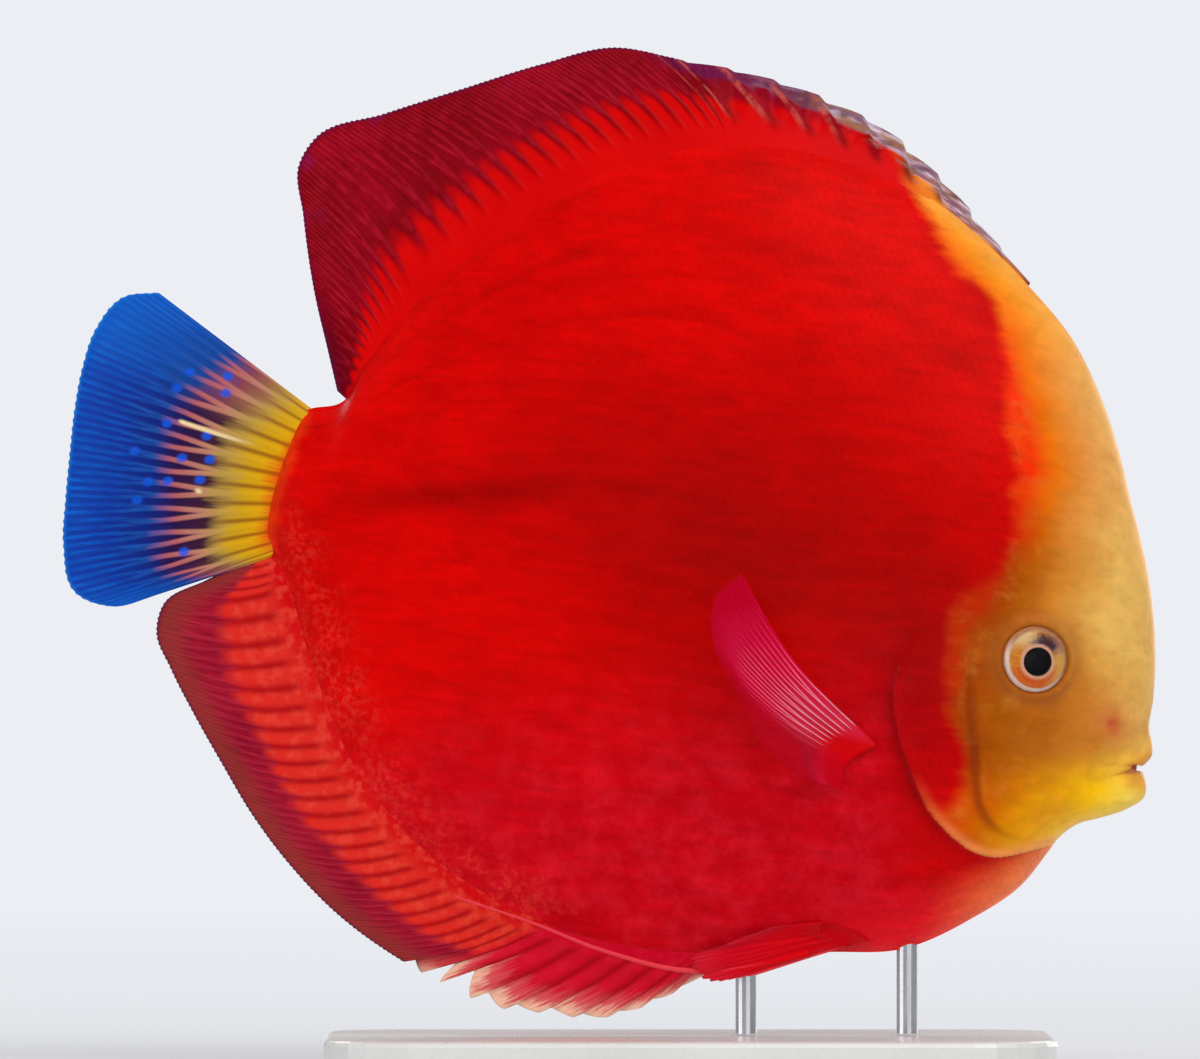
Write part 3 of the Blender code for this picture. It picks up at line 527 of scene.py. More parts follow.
def make_skin(finish):
    at, turn = skin_stations(), ring_turns()
    points = body_surface(at, turn)
    places = seen(points)
    station = at[:, None] + 0 * places[..., 0]
    points = points + grid_normals(points) * relief(places)[..., None]
    rows, columns = len(at), len(turn)
    share = np.broadcast_to(np.sin(turn)[None, :], (rows, columns))
    faces = grid_faces(rows, columns, round_trip=True)
    faces.append(tuple(range(columns)))
    faces.append(tuple((rows - 1) * columns + c for c in range(columns)))
    skin = mesh_piece(
        "skin", points.reshape(-1, 3), faces, finish, skin_marks(places, share, station),
        ("head", "torso", "tail_base", "gill_cover_left", "gill_cover_right"),
    )
    turned_out(skin)
    return BVHTree.FromPolygons(points.reshape(-1, 3).tolist(), faces)


class Flank:
    """The skin's surface, found from the side."""

    FAR = 100.0  # a place well outside the body to look from

    def __init__(self, tree):
        self.tree = tree

    def at(self, place, side, out=0.0):
        start = Vector((place[0] + DISC_X, side * self.FAR, place[1] + DISC_HEIGHT))
        hit, normal, _, _ = self.tree.ray_cast(start, Vector((0, -side, 0)))
        if normal.y * side < 0:
            normal = -normal
        return np.array(hit + normal * out)

    def clear(self, point, side, distance):
        """The point, moved out sideways where it would be nearer to the flank than the distance."""
        start = Vector((point[0], side * self.FAR, point[2]))
        hit = self.tree.ray_cast(start, Vector((0, -side, 0)))[0]
        if hit is None or side * (point[1] - hit.y) > distance:
            return point
        return np.array((point[0], hit.y + side * distance, point[2]))


# Fins

FIN_ROWS = 66
TAIL_COLUMNS = 32
COLUMNS_PER_RAY = 20
SINK = 4.0  # how far a fin's root goes into the body
RAY_HALF = (0.42, 0.17)  # half thickness at the root and at the edge
WEB_HALF = (0.28, 0.1)
EDGE_THIN = 0.35  # how much of the thickness is left at the very edge
RIDGE_START = (0.4, 2.4)  # how far out the rays begin to stand out, and over how long
# A ray's two forks: how far apart its branches go, where 1 is the way to the next ray, and over which
# share of the ray's length they part. Then a branch's width at the foot and further out.
FORK_APART = (0.25, 0.125)
FORK_LENGTH = (0.35, 0.3)
BRANCH_WIDTH = (0.17, 0.062)
SOFT_FORKS, TAIL_FORKS = (0.34, 0.6), (0.2, 0.5)  # how far out soft rays fork
NO_FORK = 2.0  # past the tip
EDGE_BITE, TAIL_BITE, PAIRED_BITE = 0.007, 0.004, 0.035  # how far the edge dips between the rays' tips
# Flesh at an edge fin's foot, as a share of the body's edge, for a fin of no height and for one this tall
FLESH_SHARE, FLESH_FULL_AT, FLESH_LEAST = (0.3, 1.0), 12.0, 0.1
# How far each membrane of the spiny parts is cut back before the next spine's tip, and in which last part
# of the way to it the membrane rises again
NOTCH_END = 0.12
DORSAL_CUTS = (0.08, 0.14, 0.1, 0.12, 0.06, 0.08, 0.05, 0.04, 0.03)
ANAL_CUTS = (0.1, 0.12, 0.08, 0.06, 0.08, 0.08, 0.12, 0.26, 0.3, 0.08)
TAIL_ROWS = 96
TAIL_MIDDLE_RAY = 7.0
TAIL_INSET = 0.03  # how much of the tail base's height is free above and below the tail fin's root
TAIL_FLESH = (0.15, 3.25)  # half its thickness at the outer rays, and in the middle
TAIL_FLESH_REACH = 5.5
TAIL_SPOT_SIZE = (0.85, 0.72)
PAIRED_ROWS = 60
PAIRED_SINK = 0.8
PAIRED_WEB_HALF = (0.30, 0.09)
PAIRED_RIDGE_START = (2.2, 3.5)
PAIRED_LOBE_REACH = 2.6  # how far the flesh at a paired fin's root reaches
PAIRED_RIPPLE = 0.35
PAIRED_FREE, PAIRED_GAP = 3.5, 0.15  # from how far out a fin keeps clear of the flank, and by how much
FILAMENT_ROWS, FILAMENT_SIDES = 90, 10
FILAMENT_WIDE, FILAMENT_DEEP = (0.62, 0.13), (0.4, 0.11)  # half sizes at the thread's root and tip
FILAMENT_GAP = 0.2


def branches(number, out, forks):
    """1 on a ray, 0 in the web, for places in a fin. forks says how far out the rays fork."""
    off = (number + 0.5) % 1 - 0.5
    first, second = (apart * past(out, fork, length)
                     for apart, fork, length in zip(FORK_APART, forks, FORK_LENGTH))
    near = np.min([np.abs(off - a * first - b * second) for a in (-1, 1) for b in (-1, 1)], axis=0)
    return bell(near, fade(BRANCH_WIDTH, smooth(out * 1.1)))


def web_at_edge(number, forks=(0.0, 0.0)):
    """1 in the web between the tips of the rays, 0 on the tips."""
    return 1 - branches(number, np.ones_like(number), forks)


def fin_surface(root, tip, number, rows, trim, bow, forks, flesh, spread, wave):
    """Points on both faces of a fin that stands in the fish's middle plane, and its marks.

    flesh is half the flesh's thickness at the sunk edge, and spread is how far out it thins to a third.
    """
    v = np.linspace(0, 1, rows)[:, None]
    tip = root + (tip - root) * (1 - trim)[:, None]
    ray = tip - root
    aside = np.column_stack([-ray[:, 1], ray[:, 0]]) * np.broadcast_to(bow, number.shape)[:, None]
    side = root + ray * v[..., None] + aside * np.sin(math.pi * v)[..., None]
    length = np.linalg.norm(ray, axis=1)[None, :]
    height, left = v * length - SINK, (1 - v) * length
    rise = np.clip(height / (length - SINK), 0, 1)
    ridge = branches(number[None, :] + 0 * v, rise, forks) * past(height, *RIDGE_START)
    web, bone = fade(WEB_HALF, rise), fade(RAY_HALF, rise)
    half = (web + (bone - web) * ridge) * np.clip(left, EDGE_THIN, 1)
    half = half + flesh * np.exp(-(height + SINK) / spread) * (1 - rise**2)
    middle = wave(number[None, :], rise, np.maximum(height, 0))
    front, back = placed(side, middle - half), placed(side, middle + half)
    marks = {
        "ray": ridge,
        "stem": bell((number[None, :] + 0.5) % 1 - 0.5 + 0 * v, 0.2),
        "rise": rise,
        "place": np.broadcast_to(number[None, :], side.shape[:2]),
        "height": height,
        "left": left,
    }
    return front, back, marks


def sheet_piece(name, front, back, marks, finish, nodes):
    rows, columns, _ = front.shape
    points = np.concatenate([front.reshape(-1, 3), back.reshape(-1, 3)])
    both = {mark: np.concatenate([np.ravel(values)] * 2) for mark, values in marks.items()}
    return turned_out(mesh_piece(name, points, sheet_faces(rows, columns), finish, both, nodes))


def evenly(line, first, last, count):
    """Point numbers from first to last, at equal steps of the line's length."""
    fine = np.linspace(first, last, 400)
    steps = np.linalg.norm(np.diff(line(fine), axis=0), axis=1)
    far = np.concatenate([[0.0], np.cumsum(steps)])
    return np.interp(np.linspace(0, far[-1], count), far, fine)


def edge_half(at, depth, line):
    """The body's half width that far inside its edge, at stations of the back's or the belly's line."""
    tall = np.linalg.norm(line(at) - widest_line(at), axis=1)
    half = between([ring[3] for ring in BODY_RINGS], at)
    share = np.sqrt(np.clip(1 - (1 - np.minimum(depth / tall, 1)) ** 2, 0, 1))
    return half * share ** fade(EDGE_POWER, at / TAIL_END)


def edge_fin(name, line, way, rays, parts, finish, nodes, cuts, bow, wave):
    """The dorsal or the anal fin, along the back's or the belly's edge."""
    spines, border, soft = parts
    stations, tips = zip(*rays)
    last = len(rays) - 1

    def edge(number):
        return through(tips, number)

    spiny_part = evenly(edge, 0, border, spines * COLUMNS_PER_RAY + 1)
    soft_part = evenly(edge, border, last, (soft - 1) * COLUMNS_PER_RAY + 1)
    table = np.concatenate([spiny_part, soft_part[1:]])
    number = np.arange(len(table)) / COLUMNS_PER_RAY
    spiny = 1 - past(number, spines + 0.5, 1.5)

    # Its foot runs along the body's edge, sunk into it
    at = np.interp(table, np.arange(last + 1), stations)
    ahead = line(at + 0.01) - line(at - 0.01)
    out = np.column_stack([ahead[:, 1], -ahead[:, 0]]) * way
    feet = line(at) - out / np.linalg.norm(out, axis=1)[:, None] * SINK

    # Its outer edge is notched behind each spine
    behind_spine = number % 1
    depth = np.interp(np.floor(number), np.arange(len(cuts) + 1), (*cuts, 0.0))
    notches = depth * behind_spine**1.3 * past(behind_spine, 1, -NOTCH_END)
    trim = np.where(number < len(cuts), notches, EDGE_BITE * web_at_edge(number))
    fork_at = [np.where(number < spines - 0.5, NO_FORK, fork) for fork in SOFT_FORKS]
    bend = fade(bow, past(number, spines, 4))

    # Flesh as thick as the body's edge, thinning outwards as steeply as the body does there
    tall = np.linalg.norm(edge(table) - feet, axis=1) - SINK
    slope = (edge_half(at, SINK + 0.2, line) - edge_half(at, SINK - 0.2, line)) / 0.4
    share = fade(FLESH_SHARE, smooth(tall / FLESH_FULL_AT))
    flesh = np.maximum(edge_half(at, SINK, line) * share - WEB_HALF[0] - 0.03, FLESH_LEAST)
    front, back, marks = fin_surface(
        feet, edge(table), number, FIN_ROWS, trim, bend, fork_at, flesh, flesh / slope, wave)
    marks["spiny"] = np.broadcast_to(spiny[None, :], front.shape[:2])
    return sheet_piece(name, front, back, marks, finish, nodes)


def dorsal_wave(number, rise, height):
    """How far the dorsal fin's folded front fringe, and its soft part, lean aside."""
    fringe = (1 - past(number, 9, 3)) * smooth(height / 4)
    lean = number + 1.3 * rise
    pleats = 0.38 * np.sin(lean * 2 * math.pi) + 0.16 * np.sin(lean * 4.6 * math.pi + 1.0)
    return fringe * pleats * rise**1.2 + 0.25 * np.sin(number * 0.55) * rise**2 * (1 - fringe)


def anal_wave(number, rise, height):
    """The same for the anal fin, whose spiny part is ruffled."""
    ruffle = 0.3 * np.sin((number + 0.6 * rise) * 2 * math.pi) * (1 - past(number, 8, 2))
    return (0.22 * np.sin(number * 0.6 + 1.0) + ruffle) * rise**2


def tail_wave(number, rise, height):
    return 0.3 * np.sin(number * 0.9 + 0.4) * rise**2


def make_tail_fin(finish):
    top, bottom = (np.array(p) for p in BODY_RINGS[TAIL_END][:2])
    out = np.array([bottom[1] - top[1], top[0] - bottom[0]])
    out /= np.linalg.norm(out)
    columns = (TAIL_RAY_COUNT - 1) * TAIL_COLUMNS + 1
    shares, tips = zip(*TAIL_RAYS)
    table = evenly(lambda k: through(tips, k), 0, len(tips) - 1, columns)
    share = between(shares, table)
    root = top + (bottom - top) * fade((TAIL_INSET, 1 - TAIL_INSET), share[:, None]) - out * SINK
    number = np.linspace(0, TAIL_RAY_COUNT - 1, columns)
    inner = np.sqrt(np.clip(1 - (2 * share - 1) ** 2, 0, 1))  # 0 at the outer rays, 1 in the middle
    front, back, marks = fin_surface(
        root, through(tips, table), number, TAIL_ROWS, TAIL_BITE * web_at_edge(number), 0.0, TAIL_FORKS,
        fade(TAIL_FLESH, inner), TAIL_FLESH_REACH, tail_wave)
    marks["seam"] = bell(np.abs((number[None, :] + 0.5) % 1 - 0.5) - 0.5, 0.13) + 0 * marks["rise"]
    places = 0.5 * (seen(front) + seen(back))
    marks["spot"] = np.max([blot(places, spot, TAIL_SPOT_SIZE, 15) for spot in TAIL_SPOTS], axis=0)
    # A painted highlight: a cream line along one ray, and a small spot below it
    off, x = off_curve(places, drawn(TAIL_HIGHLIGHT))[0], places[..., 0]
    painted_highlight = bell(off, 0.36) * past(x, -63.5, 1) * past(x, -49, -9)
    marks["light"] = np.maximum(painted_highlight, blot(places, (-60.2, 5.6), (0.6, 0.42), -20))
    return sheet_piece("caudal_fin_membrane", front, back, marks, finish, ("caudal_fin",))


def paired_fin(name, node, flank, side, finish, rays, count, forks, lobe, bone, bow):
    """A fin that leaves the flank: its root lies in the body, its tips stand out from it."""
    columns = (count - 1) * COLUMNS_PER_RAY + 1
    table = np.linspace(0, len(rays) - 1, columns)
    number = np.linspace(0, count - 1, columns)
    feet, tips, outs = zip(*rays)
    root = np.array([flank.at(p, side, -PAIRED_SINK) for p in through(feet, table)])
    end = placed(through(tips, table), side * between(outs, table))
    end = root + (end - root) * (1 - PAIRED_BITE * web_at_edge(number, forks))[:, None]
    plane = np.cross(end.mean(axis=0) - root.mean(axis=0), root[-1] - root[0])
    plane *= side * np.sign(plane[1]) / np.linalg.norm(plane)
    aside = np.cross(end - root, plane)
    aside *= np.sign(aside @ (end[-1] - end[0]))[:, None]
    length = np.linalg.norm(end - root, axis=1)
    trailing = past(number / (count - 1), 0.35, 0.4)  # the rays get weaker towards the rear
    front, back, marks = [], [], {"ray": [], "out": [], "place": [], "height": []}
    for share in np.linspace(0, 1, PAIRED_ROWS):
        height, swing = share * length, math.sin(math.pi * share)
        ridge = branches(number, np.full(columns, share), forks) * past(height, *PAIRED_RIDGE_START)
        ridge = ridge * fade((1.0, 0.35), trailing)
        half = fade(PAIRED_WEB_HALF, share) + fade(bone, share) * ridge
        half = half * np.clip((1 - share) * length, EDGE_THIN, 1)
        half = half + lobe * np.exp(-height / PAIRED_LOBE_REACH)
        middle = root + (end - root) * share + aside * (bow * swing)
        middle = middle + plane * (PAIRED_RIPPLE * swing * np.sin(number * 0.8))[:, None]
        if height.mean() > PAIRED_FREE:
            middle = np.array([flank.clear(p, side, h + PAIRED_GAP) for p, h in zip(middle, half)])
        front.append(middle + plane * half[:, None])
        back.append(middle - plane * half[:, None])
        for mark, value in zip(marks, (ridge, np.full(columns, share), number, height)):
            marks[mark].append(value)
    marks = {mark: np.array(values) for mark, values in marks.items()}
    return sheet_piece(name, np.array(front), np.array(back), marks, finish, (node,))


def make_filament(name, flank, side, finish):
    """The long thread that the pelvic fin's leading rays end in."""
    rows, sides = FILAMENT_ROWS, FILAMENT_SIDES
    line = through(FILAMENT, np.linspace(0, len(FILAMENT) - 1, rows))
    v = np.linspace(0, 1, rows)
    wide, deep = fade(FILAMENT_WIDE, v**0.8), fade(FILAMENT_DEEP, v)
    middle = placed(line, side * FILAMENT_OUT)
    middle = np.array([flank.clear(p, side, d + FILAMENT_GAP) for p, d in zip(middle, deep)])
    along = np.gradient(middle, axis=0)
    along /= np.linalg.norm(along, axis=1)[:, None]
    across = np.cross(along, (0.0, 1.0, 0.0))
    outward = np.cross(across, along)
    turn = 2 * math.pi * np.arange(sides) / sides
    ring = middle[:, None] + across[:, None] * (wide[:, None] * np.cos(turn))[..., None]
    ring = ring + outward[:, None] * (deep[:, None] * np.sin(turn))[..., None]
    faces = grid_faces(rows, sides, round_trip=True)
    faces += [tuple(range(sides)), tuple((rows - 1) * sides + c for c in range(sides))]
    full = np.ones((rows, sides))
    out = v[:, None] * full
    marks = {"ray": full, "out": out, "place": 0 * full, "height": 20 * out}
    return turned_out(mesh_piece(name, ring.reshape(-1, 3), faces, finish, marks))


# Eyes

IRIS_RINGS, IRIS_SPOKES = 90, 128
BALL_SHARE = 0.86  # how much of its half depth the eyeball stands out
BALL_BACK = 1.2  # how far its back edge is sunk
PUPIL_RADIUS, PUPIL_SUNK = 2.0, 0.22
PUPIL_ROLL, IRIS_DIP, IRIS_RIM = (0.07, 2.35, 0.22), (-0.06, 3.05, 0.25), (0.1, 4.25, 0.16)
FIBRE_HEIGHT = 0.012
CORNEA_RINGS, CORNEA_SPOKES = 28, 64
CORNEA_RADIUS, CORNEA_BULGE = 4.55, 0.475
CORNEA_GAP = 0.12  # between it and the eyeball's plain front


def dome(far, radius, depth):
    return depth * np.sqrt(np.clip(1 - (far / radius) ** 2, 0, 1))


def lens(rings, spokes, radius, depth):
    """A round cap's points (across, up, out), the radius of its rings and the angles of its spokes."""
    far = radius * np.sin(np.linspace(0, 1, rings) * math.pi / 2)
    turn = 2 * math.pi * np.arange(spokes) / spokes
    out = np.broadcast_to(dome(far, radius, depth)[:, None], (rings, spokes))
    return np.stack([far[:, None] * np.cos(turn), far[:, None] * np.sin(turn), out], -1), far, turn


def eye_pieces(word, centre, facing, finish, cornea):
    """The eyeball with its iris, and the clear bulge in front of it."""
    forward = Vector((1.0, 0.0, 0.0))
    across = (forward - facing * forward.dot(facing)).normalized()
    upward = facing.cross(across)
    upward *= math.copysign(1, upward.z)

    def in_place(points):
        flat = points.reshape(-1, 3)
        return (np.array(centre) + flat[:, :1] * np.array(across) + flat[:, 1:2] * np.array(upward)
                + flat[:, 2:] * np.array(facing))

    points, far, turn = lens(IRIS_RINGS, IRIS_SPOKES, EYE_RADIUS, EYE_HALF_DEPTH)
    ring = np.repeat(far[:, None], IRIS_SPOKES, axis=1)
    pupil = np.hypot(points[..., 0] - PUPIL_AT[0], points[..., 1] - PUPIL_AT[1])
    sunk = -PUPIL_SUNK * past(pupil, PUPIL_RADIUS + 0.05, -0.25)
    relief_out = np.where(pupil < PUPIL_RADIUS, sunk, 0.0)
    relief_out += swell(pupil, *PUPIL_ROLL) + swell(pupil, *IRIS_DIP)
    relief_out += swell(ring, *IRIS_RIM)
    fibres = np.sin(turn * 46) + 0.6 * np.sin(turn * 73 + 1.3)
    relief_out += FIBRE_HEIGHT * fibres[None, :] * past(pupil, 2.1, 0.4) * past(ring, 4.0, -0.6)
    points[..., 2] = points[..., 2] * BALL_SHARE + relief_out
    back_edge = points[-1] - (0.0, 0.0, BALL_BACK)
    everything = np.concatenate([points.reshape(-1, 3), back_edge])
    faces = grid_faces(IRIS_RINGS, IRIS_SPOKES, round_trip=True)
    faces += grid_faces(2, IRIS_SPOKES, (IRIS_RINGS - 1) * IRIS_SPOKES, round_trip=True)
    faces.append(tuple(IRIS_RINGS * IRIS_SPOKES + spoke for spoke in range(IRIS_SPOKES)))
    outermost = np.full(IRIS_SPOKES, EYE_RADIUS)
    marks = {
        "ring": np.concatenate([np.ravel(ring), outermost]),
        "pupil": np.concatenate([np.ravel(pupil), outermost]),
        "turn": np.arctan2(everything[:, 1], everything[:, 0]),
        "upness": everything[:, 1] / EYE_RADIUS,
        "fore": everything[:, 0] / EYE_RADIUS,
    }
    name = "eye_" + word
    turned_out(mesh_piece(name + "_iris", in_place(everything), faces, finish, marks, (name,)))

    points, far, turn = lens(CORNEA_RINGS, CORNEA_SPOKES, CORNEA_RADIUS, CORNEA_BULGE)
    points[..., 2] += (dome(far, EYE_RADIUS, EYE_HALF_DEPTH * BALL_SHARE) + CORNEA_GAP)[:, None]
    faces = grid_faces(CORNEA_RINGS, CORNEA_SPOKES, round_trip=True)
    turned_out(mesh_piece(name + "_cornea", in_place(points), faces, cornea, None))


# Finishes

def srgb(red, green, blue):
    """A linear colour from its 0 to 255 screen values."""
    return tuple(
        c / 12.92 if c <= 0.04045 else ((c + 0.055) / 1.055) ** 2.4
        for c in (red / 255, green / 255, blue / 255)
    ) + (1.0,)


class Nodes:
    """Short ways to add nodes to a material's tree or to a group's."""

    def __init__(self, tree):
        self.tree = tree

    def add(self, kind, **settings):
        node = self.tree.nodes.new("ShaderNode" + kind)
        for name, value in settings.items():
            setattr(node, name, value)
        return node

    def put(self, socket, value):
        if isinstance(value, bpy.types.NodeSocket):
            self.tree.links.new(value, socket)
        else:
            socket.default_value = value

    def math(self, way, *values, clamp=False):
        node = self.add("Math", operation=way, use_clamp=clamp)
        for socket, value in zip(node.inputs, values):
            self.put(socket, value)
        return node.outputs[0]

    def chain(self, way, values, clamp=False):
        """The values taken together two at a time, from the first to the last."""
        total = values[0]
        for value in values[1:]:
            total = self.math(way, total, value, clamp=clamp)
        return total

    def times(self, *values, clamp=False):
        return self.chain("MULTIPLY", values, clamp)

    def plus(self, *values, clamp=False):
        return self.chain("ADD", values, clamp)

    def minus(self, *values):
        return self.chain("SUBTRACT", values)

    def divided(self, *values):
        return self.chain("DIVIDE", values)

    def sway(self, value, size):
        """A value between 0 and 1 turned into a swing of that size about nought."""
        return self.times(self.minus(value, 0.5), size)

    def mark(self, name):
        """The number that the mesh carries at its points under that name."""
        return self.add("Attribute", attribute_name=name).outputs["Fac"]

    def ramp(self, value, low, high, to=(0.0, 1.0)):
        """The value's way from low to high, as a smooth step between the two numbers in to."""
        node = self.add("MapRange", interpolation_type="SMOOTHSTEP")
        for socket, number in zip(node.inputs, (value, low, high, *to)):
            self.put(socket, number)
        return node.outputs[0]

    def mix(self, share, first, second, way="MIX"):
        node = self.add("Mix", data_type="RGBA", blend_type=way)
        self.put(node.inputs[0], share)
        self.put(node.inputs[6], first)
        self.put(node.inputs[7], second)
        return node.outputs[2]

    def laid(self, base, top, *shares):
        """The base colour with another laid over it, as strongly as the shares multiplied together."""
        return self.mix(self.times(*shares), base, top)

    def stops(self, value, *stops):
        """A colour read off a row of (place, colour) stops."""
        node = self.add("ValToRGB")
        band = node.color_ramp
        while len(band.elements) < len(stops):
            band.elements.new(1.0)
        for element, (place, colour) in zip(band.elements, stops):
            element.position = place
            element.color = colour
        self.put(node.inputs[0], value)
        return node.outputs[0]

    def noise(self, vector, scale, detail=3.0, rough=0.55, bend=0.0):
        node = self.add("TexNoise")
        self.put(node.inputs["Vector"], vector)
        names = ("Scale", "Detail", "Roughness", "Distortion")
        for name, value in zip(names, (scale, detail, rough, bend)):
            self.put(node.inputs[name], value)
        return node.outputs["Fac"]

    def place(self):
        return self.add("TexCoord").outputs["Object"]

    def stretched(self, vector, scale, lean=0.0):
        """The vector turned in side view and stretched."""
        node = self.add("Mapping")
        self.put(node.inputs["Vector"], vector)
        node.inputs["Rotation"].default_value = (0.0, math.radians(lean), 0.0)
        node.inputs["Scale"].default_value = scale
        return node.outputs["Vector"]

    def joined(self, x, y, z=0.0):
        node = self.add("CombineXYZ")
        for socket, value in zip(node.inputs, (x, y, z)):
            self.put(socket, value)
        return node.outputs[0]

    def group(self, tree, **inputs):
        node = self.add("Group", node_tree=tree)
        for name, value in inputs.items():
            self.put(node.inputs[name.replace("_", " ").title()], value)
        return node.outputs

    def bump(self, height, distance, strength=1.0, normal=None):
        node = self.add("Bump")
        self.put(node.inputs["Height"], height)
        node.inputs["Distance"].default_value = distance * MM
        node.inputs["Strength"].default_value = strength
        if normal is not None:
            self.put(node.inputs["Normal"], normal)
        return node.outputs["Normal"]


def new_group(name, inputs, outputs):
    """An empty node group with number inputs, each with its usual value, and number outputs."""
    tree = bpy.data.node_groups.new(name, "ShaderNodeTree")
    for word, value in inputs.items():
        socket = tree.interface.new_socket(name=word, in_out="INPUT", socket_type="NodeSocketFloat")
        socket.default_value = value
    for word in outputs:
        tree.interface.new_socket(name=word, in_out="OUTPUT", socket_type="NodeSocketFloat")
    nodes = Nodes(tree)
    entry, leave = tree.nodes.new("NodeGroupInput"), tree.nodes.new("NodeGroupOutput")
    return nodes, entry.outputs, leave.inputs


def finish_material(name, roughness, **fixed):
    """A new material with its shader, whose even values are set on the shader itself."""
    made = bpy.data.materials.new(name)
    made.use_nodes = True
    shader = made.node_tree.nodes["Principled BSDF"]
    shader.inputs["Roughness"].default_value = roughness
    for word, value in fixed.items():
        shader.inputs[word.replace("_", " ")].default_value = value
    return made, Nodes(made.node_tree), shader


BODY_LEAN = -6.0  # how the rows of scales run, a little down towards the head


def scale_group():
    """Small overlapping scales in rows along the body.

    Height is a scale's relief, Edge is its rear rim and Tint is a value of its own.
    """
    nodes, given, out = new_group("scale_rows", {"Pitch": 1.35}, ("Height", "Edge", "Tint"))
    place = nodes.stretched(nodes.place(), (1 / MM,) * 3, BODY_LEAN)
    split = nodes.add("SeparateXYZ")
    nodes.put(split.inputs[0], place)
    warp = nodes.noise(nodes.place(), 90.0, 1.0)
    wander = nodes.sway(warp, 0.7)
    across = nodes.divided(nodes.plus(split.outputs[2], wander), given["Pitch"])
    row = nodes.math("FLOOR", across)
    odd = nodes.times(nodes.math("MODULO", nodes.math("ABSOLUTE", row), 2.0), 0.5)
    along = nodes.plus(nodes.divided(split.outputs[0], given["Pitch"]), odd)
    cell = nodes.math("FLOOR", along)
    x = nodes.math("FRACT", along)
    z = nodes.minus(nodes.math("FRACT", across), 0.5)
    curve = nodes.times(z, z, 1.6)
    far = nodes.math("FRACT", nodes.plus(nodes.minus(x, curve), 1.0))
    height = nodes.minus(1.0, far)
    rim = nodes.ramp(height, 0.8, 0.97)
    white = nodes.add("TexWhiteNoise", noise_dimensions="2D")
    nodes.put(white.inputs["Vector"], nodes.joined(cell, row))
    nodes.put(out["Height"], nodes.times(height, nodes.ramp(height, 1.0, 0.93)))
    nodes.put(out["Edge"], rim)
    nodes.put(out["Tint"], white.outputs["Value"])
    return nodes.tree


def streak_group():
    """Fine streaks along the body, as short or as long as asked."""
    nodes, given, out = new_group("body_streaks", {"Fineness": 500.0, "Length": 0.25}, ("Value",))
    turned = nodes.stretched(nodes.place(), (1.0, 1.0, 1.0), BODY_LEAN)
    split = nodes.add("SeparateXYZ")
    nodes.put(split.inputs[0], turned)
    vector = nodes.joined(nodes.times(split.outputs[0], given["Length"]), split.outputs[1],
                          split.outputs[2])
    nodes.put(out["Value"], nodes.noise(vector, given["Fineness"], 4.0, 0.6, 0.4))
    return nodes.tree


def ray_group():
    """A fin's fine relief: cross joints on its rays and fine threads in its web."""
    nodes, _, out = new_group("fin_grain", {}, ("Height", "Thread"))
    ray, place, height = nodes.mark("ray"), nodes.mark("place"), nodes.mark("height")
    joints = nodes.math("SINE", nodes.times(height, 9.0))
    joints = nodes.times(nodes.ramp(joints, 0.55, 1.0), ray)
    threads = nodes.noise(nodes.joined(nodes.times(place, 9.0), nodes.times(height, 0.22)), 1.0, 3.0)
    nodes.put(out["Height"], nodes.minus(threads, nodes.times(joints, 0.35)))
    nodes.put(out["Thread"], threads)
    return nodes.tree


